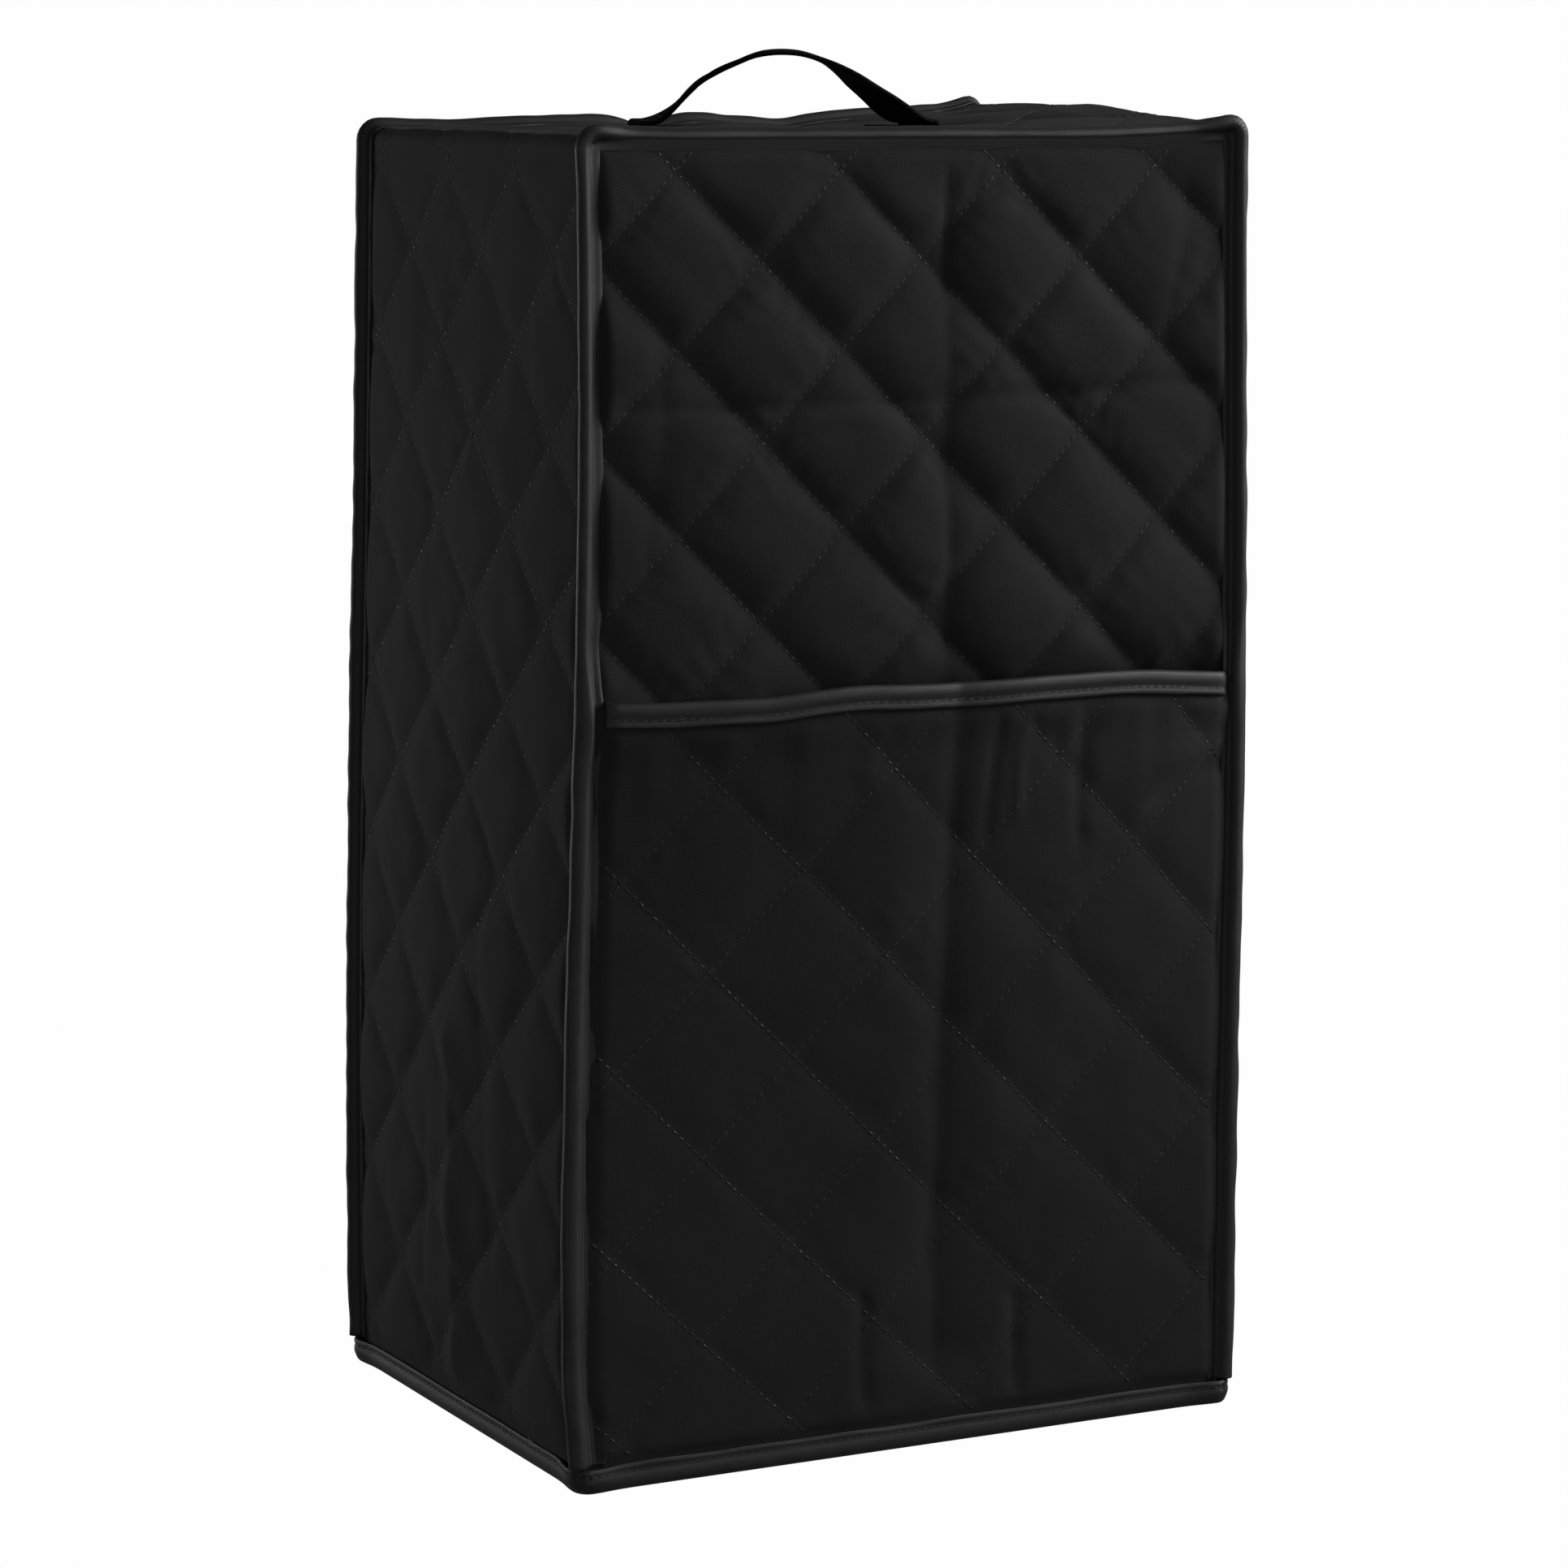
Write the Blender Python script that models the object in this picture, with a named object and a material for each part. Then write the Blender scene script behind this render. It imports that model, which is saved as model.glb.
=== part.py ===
# A quilted fitted cover for a countertop blender, standing on its hem.
#
# The cloth is a front panel, a back panel and one long gusset that runs up the left side,
# over the top and down the right side. The panels' edges are turned outward together with
# the gusset's, as a flange at 45 degrees, and bound with tape. A patch pocket lies over the
# lower front, its sides caught in the front binding. Tape binds the pocket's mouth and the
# hem, and a webbing strap is sewn to the middle of the top by its folded ends.
#
# Metres, +Z up. The front faces -Y, +X is to the right of someone who looks at the front.
# Every piece is first laid out on a true box, and settle() then leans, crowns and creases
# all of them together, so that neighbours keep their gaps.

import math
from collections import namedtuple

import bmesh
import bpy
from mathutils import Vector

MM = 0.001

# Outer size over the bindings, before the cloth settles.
WIDTH = 250 * MM
DEPTH = 195 * MM
HEIGHT = 450 * MM
CORNER_RADIUS = 3 * MM  # of the seam at the two top corners of each panel

# Quilted cloth: thickness along a stitched line, and how far a diamond puffs each way.
PLY = 1.4 * MM
PUFF_OUT = 1.9 * MM
PUFF_IN = 0.5 * MM
GAP = 0.3 * MM  # between pieces that touch

# Bound seams.
FLANGE = 5.0 * MM  # seam allowance turned outward
TAPE = 1.1 * MM
HEM_HEIGHT = 8.5 * MM
HEM_BEND = 1.5 * MM  # plan radius of the hem tape at the corners
SEAM_HALF = PLY + GAP / 2  # half of the two plies in a flange
SLOT_HALF = SEAM_HALF + GAP  # half of the slot that the tape leaves for them
TAPE_CORNER = 1.0 * MM
REACH = FLANGE + GAP + TAPE  # from the seam's root to the tape's outer edge
INSET = (REACH + SLOT_HALF + TAPE - TAPE_CORNER) / math.sqrt(2)

# The seam's root, where panel and gusset meet, as a box.
SEAM_X = WIDTH / 2 - INSET
SEAM_Y = DEPTH / 2 - INSET
SEAM_TOP = HEIGHT - INSET

# Layers, as distances outward from the root.
PLY_RISE = 0.6 * MM  # mid-thickness of a panel or of the gusset
POCKET_RISE = PLY_RISE + PLY + GAP
CLOTH_FOOT = TAPE + GAP  # where the plies end inside the hem tape
HEM_TOP = HEM_HEIGHT + GAP  # where the flanges and the upright bindings begin

# Diamond quilting, corner to corner, and one crossing of its lines on each piece.
BODY_DIAMOND = 59.4 * MM
POCKET_DIAMOND = 62.3 * MM
PANEL_CROSSING = (0.0, 346 * MM)
GUSSET_CROSSING = (-8 * MM, 346 * MM)
POCKET_CROSSING = (-14 * MM, 47 * MM)
PLAIN_STRIP = 3.7 * MM  # beside a seam, with no puff
PLAIN_MARGIN = 9 * MM  # from a seam to the nearest grid line of the quilting

# Pocket.
POCKET_TOP = 261.5 * MM
POCKET_TAPE_HEIGHT = 8.0 * MM
POCKET_RELIEF = 3.0 * MM  # how far the pocket stands clear of the front panel's puffs
POCKET_CLEAR = 7.5 * MM  # from the seam to where it stands clear
MOUTH_LIFT = 1.5 * MM  # of the mouth's two ends, where its own tape is caught in the seam
MOUTH_LIFT_RUN = 16 * MM
MOUTH_STAND = 6.5 * MM  # further, where the mouth gapes most

# Handle.
STRAP_WIDTH = 25 * MM
STRAP_THICK = 1.5 * MM
STRAP_BASE = SEAM_TOP + PLY_RISE + PLY / 2 + PUFF_OUT

STATION = 30 * MM  # between sections of the hem tape
HEM_STEPS = 4  # round each of its corners
ARC_STEPS = 4  # round each bend of the seam path
MIN_CELL = 5 * MM  # a grid line nearer than this to a more important one is left out
SAME = 0.001 * MM  # two places closer than this are one
WELD = 0.01 * MM

# Travel along the seam path: up the left side, over the top and down the right side.
SIDE_RUN = SEAM_TOP - CORNER_RADIUS
BEND_RUN = CORNER_RADIUS * math.pi / 2
TOP_RUN = 2 * (SEAM_X - CORNER_RADIUS)
PATH_RUN = 2 * SIDE_RUN + 2 * BEND_RUN + TOP_RUN

# Small roundings of the folded tapes and of the strap's edges.
POCKET_TAPE_CORNER = 0.6 * MM
HEM_TAPE_CORNER = 0.8 * MM
STRAP_EDGE = 0.5 * MM
MOUTH_BLEND = 14 * MM  # above the mouth, over which the front tape narrows

# Grey level and roughness of each material.
Look = namedtuple("Look", "shade roughness")
CLOTH_LOOK = Look(0.014, 0.85)
TAPE_LOOK = Look(0.018, 0.7)
STRAP_LOOK = Look(0.005, 0.6)

LEFT, RIGHT, UP = Vector((-1, 0, 0)), Vector((1, 0, 0)), Vector((0, 0, 1))
FRONT, BACK = Vector((0, -1, 0)), Vector((0, 1, 0))

# How far each upright edge stands outside the true box, by height.
Lean = namedtuple("Lean", "height left_front left_back right_front right_back")
LEANS = (
    Lean(0 * MM, 5.4 * MM, 12.0 * MM, 0.0 * MM, 1.5 * MM),
    Lean(45 * MM, 8.6 * MM, 12.0 * MM, 0.5 * MM, 3.5 * MM),
    Lean(130 * MM, 7.2 * MM, 11.0 * MM, 1.0 * MM, 5.0 * MM),
    Lean(230 * MM, 3.2 * MM, 8.4 * MM, 2.0 * MM, 4.5 * MM),
    Lean(320 * MM, 0.2 * MM, 5.2 * MM, 1.4 * MM, 3.0 * MM),
    Lean(400 * MM, -0.6 * MM, 3.0 * MM, 0.2 * MM, 1.0 * MM),
    Lean(450 * MM, 0.0 * MM, 1.5 * MM, 0.0 * MM, 0.0 * MM),
)

# How far the line of the pocket's mouth stands above the pocket's nominal top.
MouthPoint = namedtuple("MouthPoint", "x rise")
MOUTH_LINE = (
    MouthPoint(-120 * MM, 3.2 * MM),
    MouthPoint(-108 * MM, 2.0 * MM),
    MouthPoint(-90 * MM, 1.6 * MM),
    MouthPoint(-60 * MM, 1.5 * MM),
    MouthPoint(-42 * MM, 2.9 * MM),
    MouthPoint(-27 * MM, 3.7 * MM),
    MouthPoint(-8 * MM, 3.0 * MM),
    MouthPoint(10 * MM, 2.6 * MM),
    MouthPoint(51 * MM, 2.9 * MM),
    MouthPoint(82 * MM, 2.2 * MM),
    MouthPoint(98 * MM, 0.7 * MM),
    MouthPoint(120 * MM, -1.3 * MM),
)

# How far the top stands above the true box, across the width.
Rise = namedtuple("Rise", "x front middle back")
RISES = (
    Rise(-125 * MM, 0.0 * MM, 0.5 * MM, 0.5 * MM),
    Rise(-92 * MM, 0.0 * MM, 0.3 * MM, -1.2 * MM),
    Rise(-60 * MM, 0.3 * MM, -2.0 * MM, -0.6 * MM),
    Rise(0 * MM, 0.0 * MM, -2.2 * MM, 0.4 * MM),
    Rise(30 * MM, -0.2 * MM, -2.6 * MM, 0.4 * MM),
    Rise(46 * MM, -0.3 * MM, -2.8 * MM, 0.6 * MM),
    Rise(62 * MM, -0.4 * MM, -0.6 * MM, 1.6 * MM),
    Rise(72 * MM, -0.5 * MM, 1.2 * MM, 2.4 * MM),
    Rise(106 * MM, -0.3 * MM, 6.0 * MM, 4.0 * MM),
    Rise(125 * MM, 0.0 * MM, 8.4 * MM, 5.8 * MM),
)

RISE_FROM = 0.8 * HEIGHT  # below this height the top's rise is not felt

# Creases left by folding. Each runs along one axis at a place on the other, pushed in
# (or, with a negative depth, out) over a half-width, and fades at its two ends.
Crease = namedtuple("Crease", "side runs place start end depth half_width")
CREASES = (
    Crease("front", "upright", 9 * MM, 20 * MM, 440 * MM, 1.8 * MM, 24 * MM),
    Crease("front", "across", 357 * MM, -110 * MM, 112 * MM, 1.2 * MM, 20 * MM),
    Crease("back", "upright", -6 * MM, 20 * MM, 440 * MM, 1.8 * MM, 26 * MM),
    Crease("back", "across", 352 * MM, -110 * MM, 112 * MM, 1.2 * MM, 22 * MM),
    Crease("left", "upright", 0 * MM, 8 * MM, 150 * MM, -2.5 * MM, 22 * MM),
    Crease("right", "upright", 4 * MM, 8 * MM, 420 * MM, -2.0 * MM, 24 * MM),
)
CREASE_FADE = 15 * MM  # at each end
CROWN_RUN = 150 * MM  # from the hem and from the top to the full crown
CROWN = {"front": 2.0 * MM, "back": 3.5 * MM, "left": 3.0 * MM, "right": 3.5 * MM}

# The strap's line, from the end of its left foot to the end of its right foot. Each foot
# is folded back under the arch and sewn flat. rise is over the feet, and turn is the turn
# of the strap's width about the upright axis.
StrapPoint = namedtuple("StrapPoint", "x y rise turn")
STRAP = (
    StrapPoint(-38.0 * MM, 9.8 * MM, 0.0 * MM, 15),
    StrapPoint(-45.0 * MM, 11.7 * MM, 0.0 * MM, 15),
    StrapPoint(-50.0 * MM, 13.0 * MM, 0.0 * MM, 15),
    StrapPoint(-52.9 * MM, 13.8 * MM, 0.0 * MM, 15),
    StrapPoint(-53.6 * MM, 14.0 * MM, 0.3 * MM, 15),
    StrapPoint(-53.9 * MM, 14.1 * MM, 1.05 * MM, 15),
    StrapPoint(-53.6 * MM, 14.0 * MM, 1.8 * MM, 15),
    StrapPoint(-52.9 * MM, 13.8 * MM, 2.1 * MM, 15),
    StrapPoint(-50.0 * MM, 13.1 * MM, 2.2 * MM, 16),
    StrapPoint(-46.6 * MM, 12.1 * MM, 3.3 * MM, 18),
    StrapPoint(-43.5 * MM, 11.0 * MM, 5.3 * MM, 22),
    StrapPoint(-40.5 * MM, 9.7 * MM, 8.1 * MM, 25),
    StrapPoint(-36.7 * MM, 7.8 * MM, 12.7 * MM, 26),
    StrapPoint(-33.0 * MM, 5.9 * MM, 16.4 * MM, 28),
    StrapPoint(-29.3 * MM, 3.8 * MM, 19.0 * MM, 31),
    StrapPoint(-25.8 * MM, 1.5 * MM, 21.0 * MM, 32),
    StrapPoint(-22.2 * MM, -0.7 * MM, 22.7 * MM, 31),
    StrapPoint(-18.6 * MM, -2.8 * MM, 24.2 * MM, 29),
    StrapPoint(-14.9 * MM, -4.7 * MM, 25.2 * MM, 27),
    StrapPoint(-11.1 * MM, -6.6 * MM, 25.6 * MM, 27),
    StrapPoint(-7.4 * MM, -8.5 * MM, 25.6 * MM, 27),
    StrapPoint(-3.7 * MM, -10.4 * MM, 25.2 * MM, 27),
    StrapPoint(0.0 * MM, -12.3 * MM, 24.2 * MM, 26),
    StrapPoint(4.3 * MM, -14.3 * MM, 22.5 * MM, 23),
    StrapPoint(8.5 * MM, -15.8 * MM, 20.2 * MM, 17),
    StrapPoint(12.7 * MM, -16.8 * MM, 17.6 * MM, 11),
    StrapPoint(16.2 * MM, -17.4 * MM, 15.1 * MM, 6.5),
    StrapPoint(20.0 * MM, -17.7 * MM, 12.4 * MM, 3),
    StrapPoint(23.9 * MM, -17.8 * MM, 9.6 * MM, -1),
    StrapPoint(28.0 * MM, -17.6 * MM, 6.7 * MM, -4.5),
    StrapPoint(32.0 * MM, -17.2 * MM, 4.1 * MM, -5),
    StrapPoint(35.5 * MM, -16.9 * MM, 2.5 * MM, -5),
    StrapPoint(38.6 * MM, -16.6 * MM, 2.1 * MM, -5),
    StrapPoint(39.3 * MM, -16.5 * MM, 1.8 * MM, -5),
    StrapPoint(39.6 * MM, -16.5 * MM, 1.05 * MM, -5),
    StrapPoint(39.3 * MM, -16.5 * MM, 0.3 * MM, -5),
    StrapPoint(38.6 * MM, -16.6 * MM, 0.0 * MM, -5),
    StrapPoint(36.0 * MM, -16.8 * MM, 0.0 * MM, -5),
    StrapPoint(30.0 * MM, -17.3 * MM, 0.0 * MM, -5),
    StrapPoint(25.0 * MM, -17.7 * MM, 0.0 * MM, -5),
)


def clamp(value, low, high):
    return max(low, min(high, value))


def smooth(value):
    value = clamp(value, 0.0, 1.0)
    return value * value * (3 - 2 * value)


def read_table(rows, key, column, at):
    """The named column at a place between the rows, on a smooth curve through them all."""
    places = [getattr(row, key) for row in rows]
    values = [getattr(row, column) for row in rows]
    at = clamp(at, places[0], places[-1])
    index = max(i for i in range(len(rows) - 1) if places[i] <= at)
    before, after = max(index - 1, 0), min(index + 2, len(rows) - 1)
    length = places[index + 1] - places[index]
    share = (at - places[index]) / length
    start_slope = (values[index + 1] - values[before]) / (places[index + 1] - places[before]) * length
    end_slope = (values[after] - values[index]) / (places[after] - places[index]) * length
    rise = values[index + 1] - values[index]
    cube, square = share**3, share**2
    curve = start_slope * (cube - 2 * square + share) + end_slope * (cube - square)
    return values[index] + rise * smooth(share) + curve


def arch(share):
    """1 in the middle of a span and 0 at its ends, for a share of 0 to 1."""
    return 1 - (2 * clamp(share, 0, 1) - 1) ** 2


def crease_depth(side, across, height):
    """How far the creases on a side push it inward."""
    depth = 0.0
    for crease in CREASES:
        if crease.side != side:
            continue
        off, along = (across, height) if crease.runs == "upright" else (height, across)
        off = abs(off - crease.place) / crease.half_width
        fade = smooth((along - crease.start) / CREASE_FADE) * smooth((crease.end - along) / CREASE_FADE)
        depth += crease.depth * max(0.0, 1 - off) ** 2 * fade
    return depth


def settle(point):
    """Moves a point of the true box to where it lies in the cover as it stands."""
    x, y, z = point
    to_left = clamp(0.5 - x / WIDTH, 0, 1)
    to_front = clamp(0.5 - y / DEPTH, 0, 1)
    to_right, to_back = 1 - to_left, 1 - to_front
    left = to_front * read_table(LEANS, "height", "left_front", z)
    left += to_back * read_table(LEANS, "height", "left_back", z)
    right = to_front * read_table(LEANS, "height", "right_front", z)
    right += to_back * read_table(LEANS, "height", "right_back", z)

    # The faces crown between their seams and crease; both fade toward the seams and hem.
    wide = arch(x / (2 * SEAM_X) + 0.5)
    deep = arch(y / (2 * SEAM_Y) + 0.5)
    tall = smooth((z - HEM_TOP) / CROWN_RUN) * smooth((SEAM_TOP - z) / CROWN_RUN)
    left += smooth(to_left * 2 - 1) * deep * (CROWN["left"] * tall - crease_depth("left", y, z))
    right += smooth(to_right * 2 - 1) * deep * (CROWN["right"] * tall - crease_depth("right", y, z))
    front = smooth(to_front * 2 - 1) * wide * (CROWN["front"] * tall - crease_depth("front", x, z))
    back = smooth(to_back * 2 - 1) * wide * (CROWN["back"] * tall - crease_depth("back", x, z))

    rise = read_table(RISES, "x", "front", x) * max(0, 2 * to_front - 1)
    rise += read_table(RISES, "x", "back", x) * max(0, 2 * to_back - 1)
    rise += read_table(RISES, "x", "middle", x) * (1 - abs(2 * to_front - 1))
    rise *= smooth((z - RISE_FROM) / (HEIGHT - RISE_FROM))
    return Vector((x - left * to_left + right * to_right, y - front + back, z + rise))


def seam_path(travel):
    """(x, z, outward) on the seam's root: up the left side, over the top, down the right."""
    left_bend, right_bend = CORNER_RADIUS - SEAM_X, SEAM_X - CORNER_RADIUS
    top_start = SIDE_RUN + BEND_RUN
    if travel <= SIDE_RUN:
        return -SEAM_X, travel, LEFT
    if travel <= top_start:
        angle, centre = math.pi - (travel - SIDE_RUN) / CORNER_RADIUS, left_bend
    elif travel <= top_start + TOP_RUN:
        return left_bend + travel - top_start, SEAM_TOP, UP
    elif travel <= top_start + TOP_RUN + BEND_RUN:
        angle, centre = math.pi / 2 - (travel - top_start - TOP_RUN) / CORNER_RADIUS, right_bend
    else:
        return SEAM_X, PATH_RUN - travel, RIGHT
    outward = Vector((math.cos(angle), 0, math.sin(angle)))
    return centre + CORNER_RADIUS * outward.x, SIDE_RUN + CORNER_RADIUS * outward.z, outward


def path_bends():
    """Travel along the seam path at every step of its two bends."""
    starts = (SIDE_RUN, PATH_RUN - SIDE_RUN - BEND_RUN)
    return [start + BEND_RUN * step / ARC_STEPS for start in starts for step in range(ARC_STEPS + 1)]


def with_creases(lines, side, runs):
    """Grid lines of a panel, with one more along each crease that runs that way."""
    places = [crease.place for crease in CREASES if crease.side == side and crease.runs == runs]
    kept = [line for line in lines if min(abs(line - place) for place in places) > MIN_CELL]
    return sorted(kept + places)


def path_rows():
    """Travel at each grid line across the seam path, from hem tape to hem tape."""
    fixed = [HEM_TOP, PATH_RUN - HEM_TOP] + path_bends()
    rows = lattice(HEM_TOP, PATH_RUN - HEM_TOP, GUSSET_CROSSING[1], BODY_DIAMOND)
    return sorted(fixed + [v for v in rows if min(abs(v - other) for other in fixed) > MIN_CELL])


def spread(start, end, spacing):
    """Places from start to end, both included, no further apart than the spacing."""
    count = max(1, math.ceil((end - start - SAME) / spacing))
    return [start + (end - start) * step / count for step in range(count + 1)]


def lattice(start, end, crossing, diamond):
    """Every place between start and end on the half-diamond grid through a crossing."""
    half = diamond / 2
    first = math.ceil((start - crossing) / half)
    last = math.floor((end - crossing) / half)
    return [crossing + half * step for step in range(first, last + 1)]


def puff(u, v, crossing, diamond):
    """0 on a quilting line and 1 in the middle of a diamond."""
    a = (u - crossing[0] + v - crossing[1]) / diamond
    b = (u - crossing[0] - v + crossing[1]) / diamond
    return abs(math.sin(math.pi * a) * math.sin(math.pi * b))


def colour_of(name, look):
    material = bpy.data.materials.new(name)
    material.use_nodes = True
    shader = material.node_tree.nodes["Principled BSDF"]
    shader.inputs["Base Color"].default_value = (look.shade, look.shade, look.shade, 1)
    shader.inputs["Roughness"].default_value = look.roughness
    shader.inputs["Metallic"].default_value = 0.0
    return material


def add_object(name, shape, look):
    """Settles a bmesh of the true box into place and makes it an object."""
    bmesh.ops.remove_doubles(shape, verts=shape.verts, dist=WELD)
    for vertex in shape.verts:
        vertex.co = settle(vertex.co)
    bmesh.ops.recalc_face_normals(shape, faces=shape.faces)
    mesh = bpy.data.meshes.new(name)
    shape.to_mesh(mesh)
    shape.free()
    mesh.materials.append(colour_of(name, look))
    made = bpy.data.objects.new(name, mesh)
    bpy.context.scene.collection.objects.link(made)
    return made


def cloth(name, columns, rows, place, keeps, crossing, diamond):
    """A quilted ply on a grid of columns and rows.

    place(u, v) gives the mid-thickness point, its outward normal and the share of the puff.
    keeps(u, v) says whether the cell around that point is cloth.
    """
    shape = bmesh.new()
    outer, inner = {}, {}
    for i, u in enumerate(columns):
        for j, v in enumerate(rows):
            middle, normal, share = place(u, v)
            outer[i, j] = shape.verts.new(middle + normal * (PLY / 2 + PUFF_OUT * share))
            inner[i, j] = shape.verts.new(middle - normal * (PLY / 2 + PUFF_IN * share))

    half = diamond / 2
    cells = set()
    for i in range(len(columns) - 1):
        for j in range(len(rows) - 1):
            u = (columns[i] + columns[i + 1]) / 2
            v = (rows[j] + rows[j + 1]) / 2
            if not keeps(u, v):
                continue
            cells.add((i, j))
            ring = [(i, j), (i + 1, j), (i + 1, j + 1), (i, j + 1)]
            # The diagonal follows the quilting line that crosses this cell.
            place_in_lattice = math.floor((u - crossing[0]) / half) + math.floor((v - crossing[1]) / half)
            if place_in_lattice % 2:
                ring = ring[1:] + ring[:1]
            for corners in ((0, 1, 2), (0, 2, 3)):
                shape.faces.new([outer[ring[corner]] for corner in corners])
                shape.faces.new([inner[ring[corner]] for corner in reversed(corners)])

    for i, j in cells:
        edges = (
            ((i, j - 1), (i, j), (i + 1, j)),
            ((i + 1, j), (i + 1, j), (i + 1, j + 1)),
            ((i, j + 1), (i + 1, j + 1), (i, j + 1)),
            ((i - 1, j), (i, j + 1), (i, j)),
        )
        for neighbour, start, end in edges:
            if neighbour not in cells:
                shape.faces.new((outer[end], outer[start], inner[start], inner[end]))
    return add_object(name, shape, CLOTH_LOOK)


def loft(name, sections, closed, look):
    """A solid through sections of equal point count, capped at its ends or joined round."""
    shape = bmesh.new()
    rings = [[shape.verts.new(point) for point in section] for section in sections]
    pairs = list(zip(rings, rings[1:]))
    if closed:
        pairs.append((rings[-1], rings[0]))
    for ring, following in pairs:
        for step in range(len(ring)):
            after = (step + 1) % len(ring)
            shape.faces.new((ring[step], ring[after], following[after], following[step]))
    if not closed:
        shape.faces.new(list(reversed(rings[0])))
        shape.faces.new(rings[-1])
    return add_object(name, shape, look)


def turned_edge(toward, outward, turned):
    """Offset of a flange's mid-thickness from its bend, and its normal, on the panel's face side."""
    offset = (toward + outward) * (turned / math.sqrt(2))
    return offset, ((toward - outward) / math.sqrt(2)).normalized()


def panel_place(facing, rise, stand, crossing, diamond, top=SEAM_TOP):
    """place() of a flat panel that faces FRONT or BACK, at a rise outward from the root."""
    # The bend lies further in, the nearer the ply is to the root.
    layer = SEAM_HALF - PLY / 2 + (rise - PLY_RISE)
    inset = math.sqrt(2) * layer - rise
    flange = FLANGE - math.sqrt(2) * (rise - layer / math.sqrt(2))
    half_width = SEAM_X - inset
    ceiling = SEAM_TOP - inset
    radius = CORNER_RADIUS - inset

    def place(u, v):
        turned = max(abs(u) - SEAM_X, v - SEAM_TOP, 0.0)
        at_seam = abs(u) > SEAM_X - SAME or v > SEAM_TOP - SAME
        x = clamp(u, -half_width, half_width)
        z = min(v, ceiling)
        outward = UP if v > SEAM_TOP - SAME else Vector((math.copysign(1, u), 0, 0))
        # The two top corners are rounded: the corner's square is drawn in to a quarter disc.
        a, b = (abs(x) - (half_width - radius)) / radius, (z - (ceiling - radius)) / radius
        if a * radius > SAME and b * radius > SAME:
            # Points stay on the chords of the arc's steps, as the gusset and the tape do.
            step = math.pi / 2 / ARC_STEPS
            chord = math.cos(step / 2) / math.cos(math.atan2(b, a) % step - step / 2)
            reach = max(a, b) / math.hypot(a, b) * chord
            x = math.copysign(half_width - radius + a * reach * radius, u)
            z = ceiling - radius + b * reach * radius
            outward = Vector((math.copysign(a, u), 0, b)).normalized()
        edge = min(SEAM_X - abs(u), SEAM_TOP - v)
        share = 0.0
        if edge > PLAIN_STRIP + SAME and HEM_TOP + SAME < v < top - SAME:
            share = puff(u, v, crossing, diamond)
        point = Vector((x, 0, z)) + facing * (SEAM_Y + rise + stand(u, v))
        normal = facing.copy()
        if at_seam:
            offset, across = turned_edge(facing, outward, turned * flange / FLANGE)
            point += offset
            normal = across if turned > 0 else (facing + across).normalized()
        return point, normal, share

    return place


def panel_grid(crossing, diamond, top):
    columns = lattice(-SEAM_X + PLAIN_MARGIN, SEAM_X - PLAIN_MARGIN, crossing[0], diamond)
    edges = [SEAM_X - PLAIN_STRIP, SEAM_X, SEAM_X + FLANGE]
    columns = [-u for u in reversed(edges)] + columns + edges
    rows = [CLOTH_FOOT, HEM_TOP] + lattice(HEM_TOP + PLAIN_MARGIN, top - PLAIN_MARGIN, crossing[1], diamond)
    return columns, rows


def keeps_panel(u, v):
    """No flange below the hem tape's top."""
    return abs(u) < SEAM_X or v > HEM_TOP


def make_panel(name, facing):
    side = "front" if facing is FRONT else "back"
    columns, rows = panel_grid(PANEL_CROSSING, BODY_DIAMOND, SEAM_TOP)
    columns = with_creases(columns, side, "upright")
    rows = with_creases(rows, side, "across")
    # Grid lines that land on the steps of the corners' arcs.
    bend = [CORNER_RADIUS * (1 - math.tan(math.pi / 2 * step / ARC_STEPS)) for step in range(ARC_STEPS // 2)]
    columns = sorted(columns + [SEAM_X - inward for inward in bend] + [inward - SEAM_X for inward in bend])
    bend.append(PLAIN_STRIP)
    rows = sorted(rows + [SEAM_TOP - inward for inward in bend] + [SEAM_TOP, SEAM_TOP + FLANGE])
    place = panel_place(facing, PLY_RISE, lambda u, v: 0.0, PANEL_CROSSING, BODY_DIAMOND)
    return cloth(name, columns, rows, place, keeps_panel, PANEL_CROSSING, BODY_DIAMOND)


def pocket_stand(u, v):
    """How far the pocket stands off its flat seam line, away from the front panel."""
    side = clamp((SEAM_X - abs(u) - PLAIN_STRIP) / (POCKET_CLEAR - PLAIN_STRIP), 0, 1)
    foot = clamp((v - HEM_TOP) / (POCKET_CLEAR - PLAIN_STRIP), 0, 1)
    gape = arch(u / (2 * SEAM_X) + 0.5) * smooth(v / POCKET_TOP) ** 3
    return POCKET_RELIEF * side * foot + MOUTH_STAND * gape * side + mouth_lift(v)


def mouth_lift(height):
    return MOUTH_LIFT * smooth((height - POCKET_TOP + POCKET_TAPE_HEIGHT + MOUTH_LIFT_RUN) / MOUTH_LIFT_RUN)


def pocket_place(u, v):
    flat = panel_place(FRONT, POCKET_RISE, pocket_stand, POCKET_CROSSING, POCKET_DIAMOND, POCKET_TOP)
    point, normal, share = flat(u, v)
    point.z += read_table(MOUTH_LINE, "x", "rise", u) * smooth(v / POCKET_TOP) ** 2
    return point, normal, share


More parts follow.
